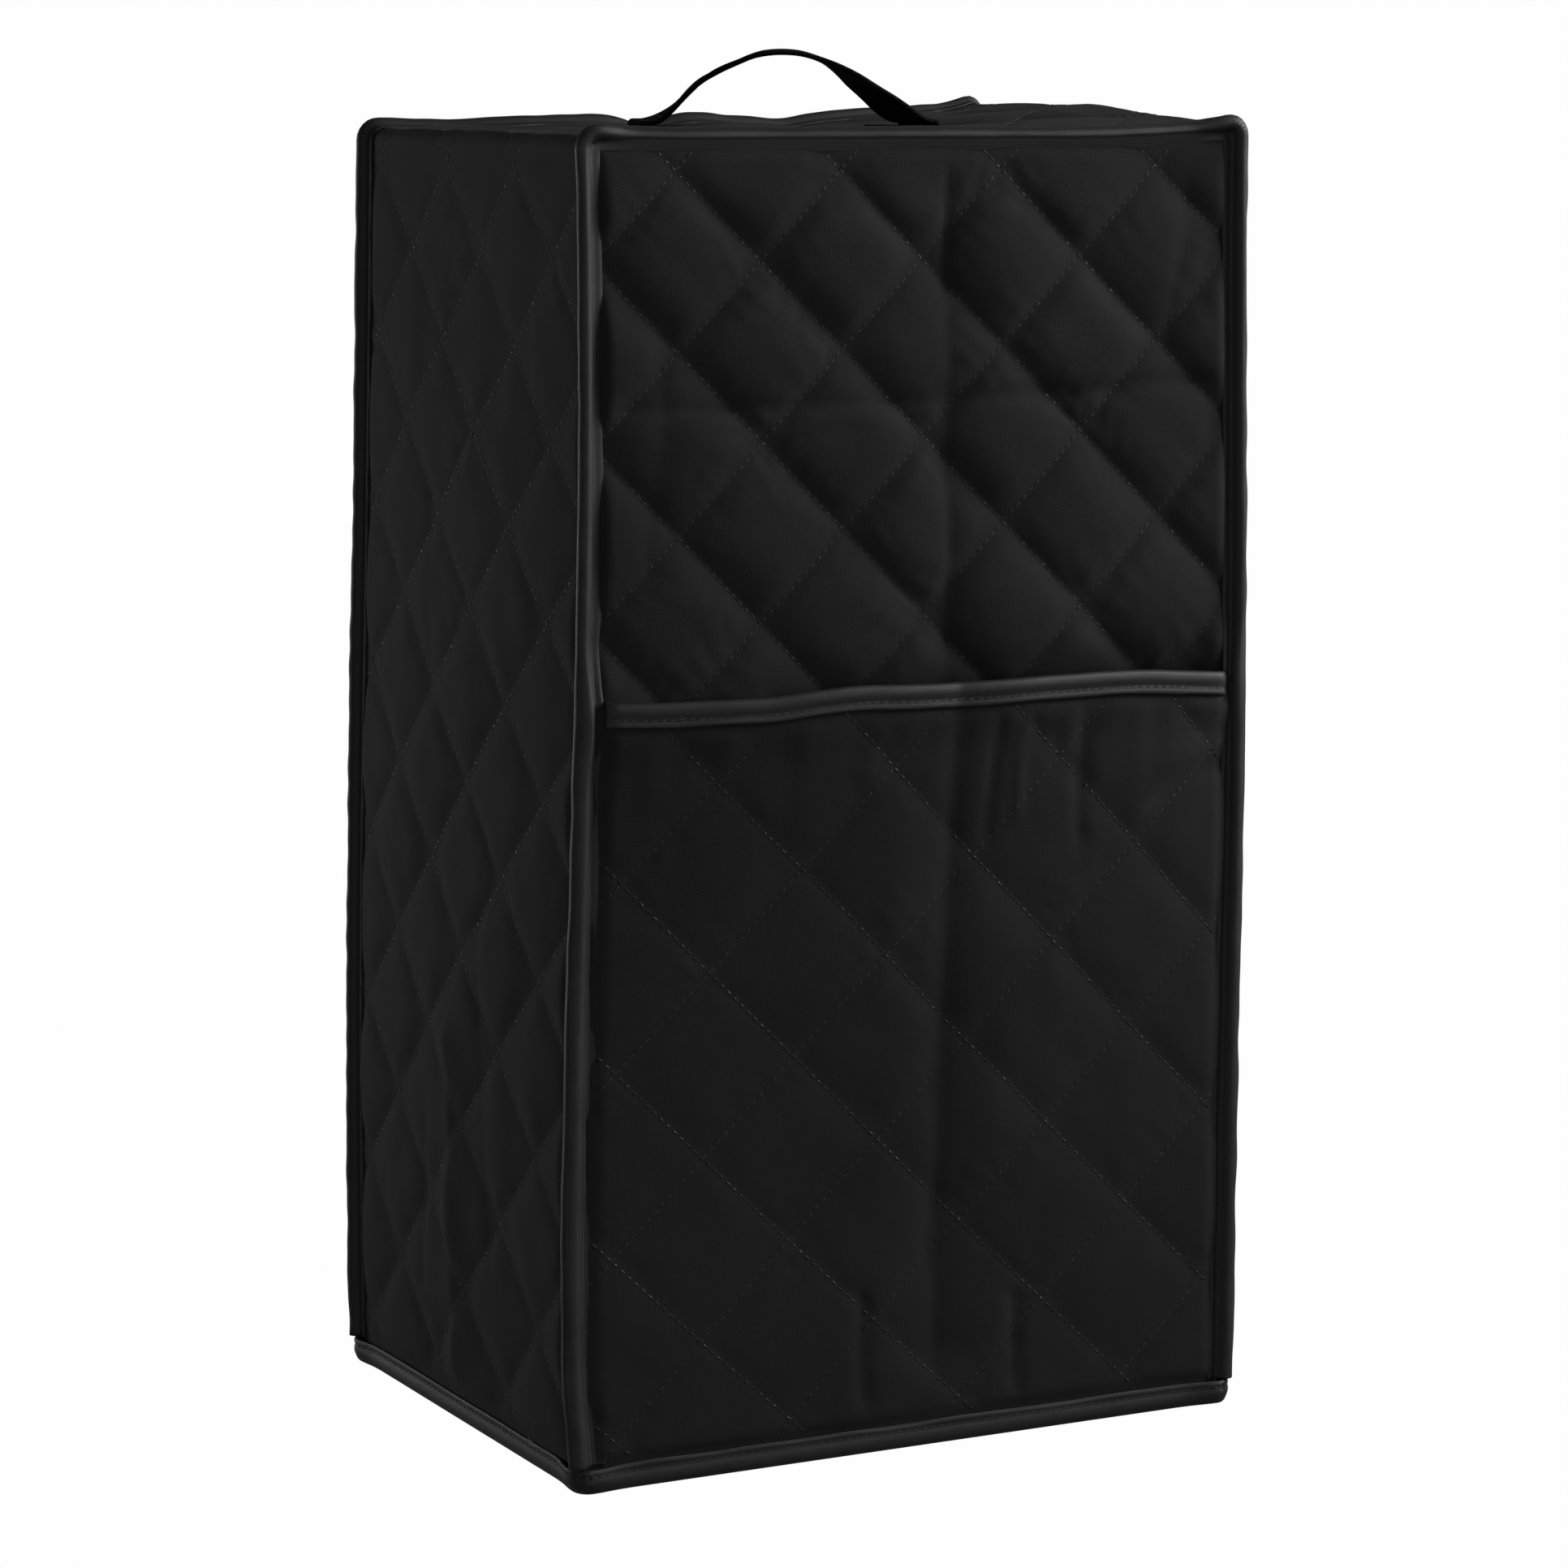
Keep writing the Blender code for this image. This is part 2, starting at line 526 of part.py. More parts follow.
def pocket_grid():
    columns, rows = panel_grid(POCKET_CROSSING, POCKET_DIAMOND, POCKET_TOP)
    clear = SEAM_X - POCKET_CLEAR
    columns = [u for u in columns if abs(u) > clear or clear - abs(u) > MIN_CELL]
    columns = with_creases(columns + [-clear, clear], "front", "upright")
    hem_clear = HEM_TOP + POCKET_CLEAR - PLAIN_STRIP
    low_rows = [hem_clear, hem_clear + PLAIN_MARGIN]
    tape_foot = POCKET_TOP - POCKET_TAPE_HEIGHT
    rows = [v for v in rows if v < tape_foot - MOUTH_LIFT_RUN - PLAIN_MARGIN / 2]
    rows = rows[:2] + low_rows + rows[2:]
    rows += [tape_foot - MOUTH_LIFT_RUN, tape_foot - MOUTH_LIFT_RUN / 2, tape_foot, POCKET_TOP - TAPE - GAP]
    return columns, rows


def make_pocket():
    columns, rows = pocket_grid()

    def place(u, v):
        point, normal, share = pocket_place(u, v)
        plain = v > POCKET_TOP - POCKET_TAPE_HEIGHT - SAME or abs(u) > SEAM_X - PLAIN_STRIP - SAME
        return point, normal, 0.0 if plain else share

    def keeps(u, v):
        caught = v < POCKET_TOP - POCKET_TAPE_HEIGHT - MOUTH_LIFT_RUN
        return abs(u) < SEAM_X or (v > HEM_TOP and caught)

    return cloth("pocket", columns, rows, place, keeps, POCKET_CROSSING, POCKET_DIAMOND)


def make_pocket_binding():
    """Tape folded over the pocket's mouth, open below."""
    slot = PLY / 2 + GAP
    outer = slot + TAPE
    low, high = POCKET_TOP - POCKET_TAPE_HEIGHT, POCKET_TOP
    corner = POCKET_TAPE_CORNER
    profile = (
        (-outer, low),
        (-outer, high - corner),
        (-outer + corner, high),
        (outer - corner, high),
        (outer, high - corner),
        (outer, low),
        (slot, low),
        (slot, high - TAPE),
        (-slot, high - TAPE),
        (-slot, low),
    )
    end = SEAM_X - PLAIN_STRIP - 2 * GAP
    stations = [-end] + [u for u in pocket_grid()[0] if abs(u) < end] + [end]
    sections = []
    for u in stations:
        section = []
        for away, height in profile:
            middle, _, _ = pocket_place(u, height)
            section.append(middle + FRONT * away)
        sections.append(section)
    return loft("pocket_binding", sections, False, TAPE_LOOK)


def gusset_place(u, v):
    """u runs from front (negative) to back; v is the travel along the seam path."""
    x, z, outward = seam_path(v)
    turned = max(abs(u) - SEAM_Y, 0.0)
    at_seam = abs(u) > SEAM_Y - SAME
    toward = Vector((0, math.copysign(1, u), 0))
    y = clamp(u, -SEAM_Y, SEAM_Y) * (SEAM_Y - PLY_RISE) / SEAM_Y
    point = Vector((x, y, z)) + outward * PLY_RISE
    normal = outward.copy()
    if at_seam:
        offset, across = turned_edge(outward, toward, turned)
        point += offset
        normal = across if turned > 0 else (outward + across).normalized()
    plain = abs(u) > SEAM_Y - PLAIN_STRIP - SAME or not HEM_TOP + SAME < v < PATH_RUN - HEM_TOP - SAME
    return point, normal, 0.0 if plain else puff(u, v, GUSSET_CROSSING, BODY_DIAMOND)


def make_gusset():
    """One strip: left side, top and right side."""
    columns = lattice(-SEAM_Y + PLAIN_MARGIN, SEAM_Y - PLAIN_MARGIN, GUSSET_CROSSING[0], BODY_DIAMOND)
    edges = [SEAM_Y - PLAIN_STRIP, SEAM_Y, SEAM_Y + FLANGE]
    columns = [-u for u in reversed(edges)] + columns + edges
    rows = [CLOTH_FOOT] + path_rows() + [PATH_RUN - CLOTH_FOOT]

    def keeps(u, v):
        return abs(u) < SEAM_Y or HEM_TOP < v < PATH_RUN - HEM_TOP

    return cloth("gusset", columns, rows, gusset_place, keeps, GUSSET_CROSSING, BODY_DIAMOND)


def tape_section(root, outward, toward, extra):
    """The folded tape round a flange. extra is the pocket's ply on the panel's side."""
    along = (outward + toward) / math.sqrt(2)
    across = (outward - toward) / math.sqrt(2)
    flat = PLY_RISE + PLY / 2 + GAP  # the panel's outer face, with the gap
    section = []
    for sign, more in ((1, 0.0), (-1, extra)):
        slot = SLOT_HALF + more
        outer = slot + TAPE
        lip = math.sqrt(2) * (flat + more)
        half = [
            (lip - outer, outer),
            (REACH - TAPE_CORNER, outer),
            (REACH, outer - TAPE_CORNER),
            (FLANGE + GAP, slot),
            (lip - slot, slot),
        ]
        points = [root + along * a + across * (sign * b) for a, b in half]
        section.append(points)
    side, panel = section
    return [side[0], side[1], side[2], panel[2], panel[1], panel[0], panel[4], panel[3], side[3], side[4]]


def pocket_layer(height):
    """What the pocket adds under the front tape's lip: nothing above its mouth."""
    return (PLY + 2 * GAP + mouth_lift(height)) * (1 - smooth((height - POCKET_TOP) / MOUTH_BLEND))


def make_seam_binding(name, toward, has_pocket):
    """Tape up the left seam, over the top and down the right, round a front or back panel."""
    travels = path_rows()
    if has_pocket:
        tape_foot = POCKET_TOP - POCKET_TAPE_HEIGHT
        steps = (tape_foot - MOUTH_LIFT_RUN, tape_foot, POCKET_TOP)
        steps += (POCKET_TOP + MOUTH_BLEND / 2, POCKET_TOP + MOUTH_BLEND)
        steps += tuple(PATH_RUN - step for step in steps)
        travels = [travel for travel in travels if min(abs(travel - step) for step in steps) > MIN_CELL / 2]
        travels = sorted([*travels, *steps])
    sections = []
    for travel in travels:
        x, z, outward = seam_path(travel)
        root = Vector((x, 0, z)) + toward * SEAM_Y
        extra = pocket_layer(z) if has_pocket else 0.0
        sections.append(tape_section(root, outward, toward, extra))
    return loft(name, sections, False, TAPE_LOOK)


def hem_stations():
    """(x, y, outward, share of the pocket's ply) round the hem, counter-clockwise from above."""
    far_x, far_y = SEAM_X - HEM_BEND, SEAM_Y - HEM_BEND
    runs = (
        ((-far_x, -far_y), (far_x, -far_y), FRONT, 1.0),
        ((far_x, -far_y), (far_x, far_y), RIGHT, 0.0),
        ((far_x, far_y), (-far_x, far_y), BACK, 0.0),
        ((-far_x, far_y), (-far_x, -far_y), LEFT, 0.0),
    )
    stations = []
    for index, (start, end, outward, share) in enumerate(runs):
        start, end = Vector((*start, 0)), Vector((*end, 0))
        for step in spread(0, (end - start).length, STATION):
            point = start + (end - start).normalized() * step + outward * HEM_BEND
            stations.append((point, outward, share))
        following = runs[(index + 1) % len(runs)]
        for step in range(1, HEM_STEPS):
            angle = math.pi / 2 * step / HEM_STEPS
            turn = outward * math.cos(angle) + following[2] * math.sin(angle)
            stations.append((end + turn * HEM_BEND, turn, max(share, following[3])))
    return stations


def make_hem_binding():
    """Tape folded up round the bottom edge, flat underneath."""
    sections = []
    for point, outward, share in hem_stations():
        slot_out = PLY_RISE + PLY / 2 + GAP + share * (PLY + GAP)
        slot_in = PLY_RISE - PLY / 2 - GAP
        out, into = slot_out + TAPE, slot_in - TAPE
        corner = HEM_TAPE_CORNER
        profile = (
            (out - corner, 0),
            (out, corner),
            (out, HEM_HEIGHT),
            (slot_out, HEM_HEIGHT),
            (slot_out, TAPE),
            (slot_in, TAPE),
            (slot_in, HEM_HEIGHT),
            (into, HEM_HEIGHT),
            (into, corner / 2),
            (into + corner / 2, 0),
        )
        sections.append([point + outward * away + UP * height for away, height in profile])
    return loft("hem_binding", sections, True, TAPE_LOOK)


def make_handle():
    """Flat webbing: two feet folded under and sewn, and a twisted arch between them."""
    centre = STRAP_BASE + GAP + STRAP_THICK / 2
    middles = [Vector((point.x, point.y, centre + point.rise)) for point in STRAP]
    edge = STRAP_EDGE
    half, thick = STRAP_WIDTH / 2, STRAP_THICK / 2
    profile = (
        (-half, -thick + edge),
        (-half + edge, -thick),
        (half - edge, -thick),
        (half, -thick + edge),
        (half, thick - edge),
        (half - edge, thick),
        (-half + edge, thick),
        (-half, thick - edge),
    )
    sections = []
    for index, (middle, row) in enumerate(zip(middles, STRAP)):
        before, after = middles[max(index - 1, 0)], middles[min(index + 1, len(middles) - 1)]
        turn = math.radians(row.turn)
        width = Vector((math.sin(turn), math.cos(turn), 0))
        along = (after - before).normalized()
        normal = along.cross(width).normalized()
        sections.append([middle + width * a + normal * b for a, b in profile])
    return loft("handle_strap", sections, False, STRAP_LOOK)


def centre_on_origin(pieces):
    """Puts the middle of the whole cover's footprint at the origin, with the hem at zero."""
    points = [vertex.co for piece in pieces for vertex in piece.data.vertices]
    shift = Vector((
        -(min(p.x for p in points) + max(p.x for p in points)) / 2,
        -(min(p.y for p in points) + max(p.y for p in points)) / 2,
        -min(p.z for p in points),
    ))
    for piece in pieces:
        piece.location = shift
    return shift


def main():
    for old in list(bpy.data.objects):
        bpy.data.objects.remove(old, do_unlink=True)
    pieces = [
        make_panel("front_panel", FRONT),
        make_panel("back_panel", BACK),
        make_gusset(),
        make_pocket(),
        make_pocket_binding(),
        make_seam_binding("front_binding", FRONT, True),
        make_seam_binding("back_binding", BACK, False),
        make_hem_binding(),
        make_handle(),
    ]
    shift = centre_on_origin(pieces)
    triangles = sum(len(face.vertices) - 2 for piece in pieces for face in piece.data.polygons)
    print("shift", [round(value / MM, 4) for value in shift], "mm; triangles", triangles)


main()
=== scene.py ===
import math

import bmesh
import bpy
import numpy as np
from mathutils import Matrix


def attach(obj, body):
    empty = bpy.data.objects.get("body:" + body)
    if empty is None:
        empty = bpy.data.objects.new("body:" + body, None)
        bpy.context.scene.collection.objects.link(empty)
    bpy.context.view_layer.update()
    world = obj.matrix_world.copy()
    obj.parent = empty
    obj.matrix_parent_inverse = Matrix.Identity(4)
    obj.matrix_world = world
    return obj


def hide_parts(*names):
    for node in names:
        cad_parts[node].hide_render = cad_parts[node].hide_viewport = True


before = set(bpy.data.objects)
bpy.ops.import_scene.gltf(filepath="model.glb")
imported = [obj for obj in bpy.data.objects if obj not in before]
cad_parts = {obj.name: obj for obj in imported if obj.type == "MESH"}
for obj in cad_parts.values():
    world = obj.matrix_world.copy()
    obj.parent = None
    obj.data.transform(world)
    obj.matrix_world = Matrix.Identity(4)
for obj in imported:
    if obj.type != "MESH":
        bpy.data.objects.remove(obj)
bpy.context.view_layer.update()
bpy.ops.object.select_all(action="DESELECT")

mm = 0.001
tiny = 1e-6

# The box that the seams lie on, before the cloth settles. The camera looks along +Y.
cover = {
    "width": 250 * mm,
    "depth": 195 * mm,
    "height": 450 * mm,
    "seamInset": 5.9043 * mm,  # from the box to the root of the bound seams
    "cornerRadius": 3 * mm,
    "standsAt": (3.4856 * mm, 5.4021 * mm, 0.0),
    "topSeamRoll": 37,  # degrees
    "rollReach": 16 * mm,  # from the seam's root
    "rollFade": 6 * mm,
    "unevenness": 0.55 * mm,  # slow waves over each face
    "waveLength": 85 * mm,
}
seamX = cover["width"] / 2 - cover["seamInset"]
seamY = cover["depth"] / 2 - cover["seamInset"]
seamTop = cover["height"] - cover["seamInset"]

# How far each upright edge leans out, by height, in mm.
leans = {
    "height": (0, 45, 130, 230, 320, 400, 450),
    "leftFront": (5.4, 8.6, 7.2, 3.2, 0.2, -0.6, 0),
    "leftBack": (12, 12, 11, 8.4, 5.2, 3, 1.5),
    "rightFront": (0, 0.5, 1, 2, 1.4, 0.2, 0),
    "rightBack": (1.5, 3.5, 5, 4.5, 3, 1, 0),
}

# How far the top rises, across the width, in mm.
rises = {
    "x": (
        -125, -92, -60, -44, -30, -22, -16, -8, 2, 10,
        18, 28, 37, 46, 54, 62, 72, 106, 125,
    ),
    "front": (
        0, -1.2, -1.3, -1.4, -1.4, -1.5, -1.5, -1.5, -1.6, -1.6,
        -1.7, -1.8, -1.8, -1.9, -2, -2, -2, -0.6, 2.4,
    ),
    "middle": (
        0.5, 0.3, -2.5, -2.9, -3, -2.6, -2.3, -2.2, -2.1, -2.1,
        -2.1, -2.2, -2.3, -2.5, -1.7, -0.6, 1.2, 6.2, 9.3,
    ),
    "back": (
        0.5, -0.6, 0.8, 1, 0.8, -0.8, -3, -0.6, 1.2, 1.3,
        0.2, -0.2, -1.2, -0.2, 1, 1.6, 2.4, 4.8, 10,
    ),
}

# Long creases from folding: (face, runs, place, start, end, depth, half width), in mm.
longCreases = (
    ("front", "upright", 9, 20, 440, 1.8, 24),
    ("front", "across", 357, -110, 112, 1.2, 20),
    ("back", "upright", -6, 20, 440, 1.8, 26),
    ("back", "across", 352, -110, 112, 1.2, 22),
    ("left", "upright", 0, 8, 150, -2.5, 22),
    ("right", "upright", 4, 8, 420, -2.0, 24),
)
crowns = {"front": 2.0 * mm, "back": 3.5 * mm, "left": 3.0 * mm, "right": 3.5 * mm}
crownRun = 150 * mm
creaseFade = 15 * mm


def smooth(share):
    share = np.clip(share, 0, 1)
    return share * share * (3 - 2 * share)


def arch(share):  # 1 in the middle of a span, 0 at its ends
    return 1 - (2 * np.clip(share, 0, 1) - 1) ** 2


def readCurve(places, values, at):  # a smooth curve through every row of a table
    places, values = np.array(places, float), np.array(values, float)
    at = np.clip(at, places[0], places[-1])
    index = np.clip(np.searchsorted(places, at, side="right") - 1, 0, len(places) - 2)
    before, after = np.maximum(index - 1, 0), np.minimum(index + 2, len(places) - 1)
    length = places[index + 1] - places[index]
    share = (at - places[index]) / length
    startSlope = (values[index + 1] - values[before]) / (places[index + 1] - places[before]) * length
    endSlope = (values[after] - values[index]) / (places[after] - places[index]) * length
    cube, square = share**3, share**2
    curve = startSlope * (cube - 2 * square + share) + endSlope * (cube - square)
    return values[index] + (values[index + 1] - values[index]) * smooth(share) + curve


def ripple(u, v, waveLength, seed, waves=9):  # soft irregular waves, about -1 to 1
    draw = np.random.default_rng(seed)
    total = np.zeros(np.broadcast(u, v).shape)
    for _ in range(waves):
        angle, phase = draw.uniform(0, 2 * math.pi, 2)
        length = waveLength * draw.uniform(0.7, 1.5)
        total += np.sin((u * math.cos(angle) + v * math.sin(angle)) * 2 * math.pi / length + phase)
    return total / math.sqrt(waves)


def longCreaseDepth(face, across, height):
    depth = np.zeros(across.shape)
    for onFace, runs, place, start, end, deep, halfWidth in longCreases:
        if onFace != face:
            continue
        off, along = (across, height) if runs == "upright" else (height, across)
        off = np.abs(off - place * mm) / (halfWidth * mm)
        fade = smooth((along - start * mm) / creaseFade) * smooth((end * mm - along) / creaseFade)
        depth += deep * mm * np.maximum(0, 1 - off) ** 2 * fade
    return depth


def rollTopSeam(x, y, z):  # the bound seam at the top's front edge stands up from the front
    ahead, above = -(y + seamY), z - seamTop
    radius, angle = np.hypot(ahead, above), np.degrees(np.arctan2(above, ahead))
    # most where the fold points, at 45 degrees, and none on the cloth at -60 and 170
    share = np.where(angle < 45, smooth((angle + 60) / 105), smooth((170 - angle) / 125))
    share = share * smooth((cover["rollReach"] - radius) / cover["rollFade"])
    share = share * smooth((seamX - np.abs(x) - 4 * mm) / (14 * mm))
    angle = np.radians(angle + cover["topSeamRoll"] * share)
    return -seamY - radius * np.cos(angle), seamTop + radius * np.sin(angle)


def settle(points):  # from the true box to how the cover stands, all pieces alike
    x, y, z = points[:, 0], points[:, 1], points[:, 2]
    y, z = rollTopSeam(x, y, z)
    toLeft = np.clip(0.5 - x / cover["width"], 0, 1)
    toFront = np.clip(0.5 - y / cover["depth"], 0, 1)
    toRight, toBack = 1 - toLeft, 1 - toFront
    height = z / mm
    left = toFront * readCurve(leans["height"], leans["leftFront"], height)
    left = (left + toBack * readCurve(leans["height"], leans["leftBack"], height)) * mm
    right = toFront * readCurve(leans["height"], leans["rightFront"], height)
    right = (right + toBack * readCurve(leans["height"], leans["rightBack"], height)) * mm

    hemTop = quilting["hemTop"]
    wide, deep = arch(x / (2 * seamX) + 0.5), arch(y / (2 * seamY) + 0.5)
    tall = smooth((z - hemTop) / crownRun) * smooth((seamTop - z) / crownRun)
    wavy = cover["unevenness"] * smooth((z - hemTop) / (60 * mm))
    wave = cover["waveLength"]
    left += smooth(toLeft * 2 - 1) * deep * (
        crowns["left"] * tall - longCreaseDepth("left", y, z) + wavy * ripple(y, z, wave, 11)
    )
    right += smooth(toRight * 2 - 1) * deep * (
        crowns["right"] * tall - longCreaseDepth("right", y, z) + wavy * ripple(y, z, wave, 12)
    )
    front = smooth(toFront * 2 - 1) * wide * (
        crowns["front"] * tall - longCreaseDepth("front", x, z) + wavy * ripple(x, z, wave, 13)
    )
    back = smooth(toBack * 2 - 1) * wide * (
        crowns["back"] * tall - longCreaseDepth("back", x, z) + wavy * ripple(x, z, wave, 14)
    )

    across = x / mm
    rise = readCurve(rises["x"], rises["front"], across) * np.maximum(0, 2 * toFront - 1)
    rise += readCurve(rises["x"], rises["back"], across) * np.maximum(0, 2 * toBack - 1)
    rise += readCurve(rises["x"], rises["middle"], across) * (1 - np.abs(2 * toFront - 1))
    riseFrom = 0.8 * cover["height"]
    rise *= mm * smooth((z - riseFrom) / (cover["height"] - riseFrom))
    settled = np.stack([x - left * toLeft + right * toRight, y - front + back, z + rise], 1)
    return settled + np.array(cover["standsAt"])


# Quilted cloth: padded plies with stitched lines.
quilting = {
    "ply": 1.4 * mm,  # thickness along a stitched line
    "plyRise": 0.6 * mm,  # mid-thickness, outward from the seam's root
    "gap": 0.3 * mm,
    "flange": 5.0 * mm,  # seam allowance, turned out inside the binding
    "hemTop": 8.8 * mm,
    "clothFoot": 1.4 * mm,
    "bodyDiamond": 59.4 * mm,
    "pocketDiamond": 62.3 * mm,
    "panelCrossing": (0.0, 346 * mm),
    "gussetCrossing": (-8 * mm, 346 * mm),
    "pocketCrossing": (-14 * mm, 47 * mm),
    "bodyPuff": 3.1 * mm,
    "sidePuff": 1.8 * mm,
    "topPuff": 1.6 * mm,
    "behindPocketPuff": 0.6 * mm,  # pressed flat
    "pocketPuff": 1.1 * mm,
    "innerPuff": 0.5 * mm,
    "fullness": 3.0,  # 1 is a tent, higher is a fuller pillow
    "risingLines": 0.45,  # how deep the lines that rise to the right are, to the others
    "pucker": 0.12 * mm,
    "puckerLength": 9 * mm,
    "puckerReach": 4.5 * mm,
    "pressed": 0.7,  # thickness left in a bound seam
    "plainStrip": 3.7 * mm,  # beside a seam
    "underFeet": ((-46, 12), (34, -17)),  # where the strap's sewn feet press the top level, in mm
    "footSize": (13, 17),
    "footLift": 1.8 * mm,
    "cellsPerDiamond": {"front": 32, "back": 24, "gusset": 24, "pocket": 32},
}
seamHalf = quilting["ply"] + quilting["gap"] / 2

# Small creases and tucks: (piece, from, to, depth, half width), in mm on the cloth.
smallCreases = (
    ("front", (-112, 357), (-50, 357.5), 0.8, 6),
    ("front", (-50, 357.5), (20, 358), 0.55, 7),
    ("front", (20, 358), (112, 361), 0.9, 6),
    ("front", (10, 270), (8, 360), 0.35, 6),
    ("front", (9, 395), (10, 438), 0.7, 5),
    ("front", (-62, 340), (-22, 352), 0.6, 9),
    ("front", (92, 372), (104, 436), 0.5, 8),
    ("front", (-100, 300), (-92, 390), 0.45, 9),
    ("front", (-60, 252), (112, 261), 3.4, 27),
    ("pocket", (22, 205), (24, 252), 0.9, 5),
    ("pocket", (33, 212), (34, 252), -0.7, 5),
    ("pocket", (58, 200), (56, 252), 0.9, 6),
    ("pocket", (84, 214), (116, 232), 1.3, 6),
    ("pocket", (86, 226), (117, 240), -0.8, 6),
    ("pocket", (-17, 14), (-19, 60), 0.9, 7),
    ("pocket", (40, 12), (38, 52), 0.9, 7),
    ("pocket", (6, 60), (8, 232), 0.35, 7),
    ("gusset", (-30, 60), (-22, 190), 0.5, 9),
    ("gusset", (24, 250), (30, 330), 0.5, 10),
    ("gusset", (-60, 400), (60, 408), 0.6, 9),
    ("gusset", (30, 40), (24, 110), 0.7, 8),
    ("back", (-112, 352), (110, 350), 0.7, 7),
    ("back", (-40, 90), (-6, 160), 0.6, 10),
    ("back", (60, 180), (96, 210), 0.6, 9),
)


def smallCreaseDepth(piece, u, v):
    depth = np.zeros(u.shape)
    for onPiece, start, end, deep, halfWidth in smallCreases:
        if onPiece != piece:
            continue
        (x0, y0), (x1, y1) = start, end
        length = math.hypot(x1 - x0, y1 - y0)
        alongX, alongY = (x1 - x0) / length, (y1 - y0) / length
        du, dv = u / mm - x0, v / mm - y0
        along = du * alongX + dv * alongY
        off = np.abs(du * alongY - dv * alongX + 0.8 * np.sin(along / 9.0)) / halfWidth
        fade = smooth((along + 4) / 12) * smooth((length + 4 - along) / 12)
        depth += deep * mm * np.maximum(0, 1 - off) ** 2 * fade
    return depth


def puffShare(u, v, crossing, diamond, seed, rising):
    # 0 on a stitched line and about 1 in the middle of a diamond, each a little different
    a = (u - crossing[0] + v - crossing[1]) / diamond
    b = (u - crossing[0] - v + crossing[1]) / diamond
    offA, offB = np.abs(a - np.round(a)) * 2, np.abs(b - np.round(b)) * 2
    full = quilting["fullness"]
    share = (1 - (1 - offA) ** full) * (1 - rising * (1 - offB) ** (full * (2 - rising)))
    draw = np.sin(np.floor(a) * 12.9898 + np.floor(b) * 78.233 + seed) * 43758.5453
    share *= 0.88 + 0.24 * (draw - np.floor(draw)) * smooth(offA * 3) * smooth(offB * 3)
    return share, offA * diamond / math.sqrt(8), offB * diamond / math.sqrt(8)


def puckers(u, v, offA, offB, seed):  # short ripples that run out from the stitched lines
    reach, length = quilting["puckerReach"], quilting["puckerLength"]
    total = np.zeros(u.shape)
    for off, along, turn in ((offA, u - v, 0), (offB, u + v, 1)):
        fade = off / reach * np.exp(1 - off / reach)
        wander = 2.2 * ripple(u, v, 26 * mm, seed + turn, 5)
        total += fade * np.sin(along / math.sqrt(2) * 2 * math.pi / length + wander)
    strength = 0.6 + 0.6 * ripple(u, v, 60 * mm, seed + 7, 5)
    slack = 0.14 * mm * ripple(u, v, 24 * mm, seed + 9, 9) * smooth(np.minimum(offA, offB) / (6 * mm))
    return quilting["pucker"] * total * np.clip(strength, 0, 1.6) + slack


def lattice(start, end, crossing, spacing):
    first, last = math.ceil((start - crossing) / spacing), math.floor((end - crossing) / spacing)
    return [crossing + spacing * step for step in range(first, last + 1)]


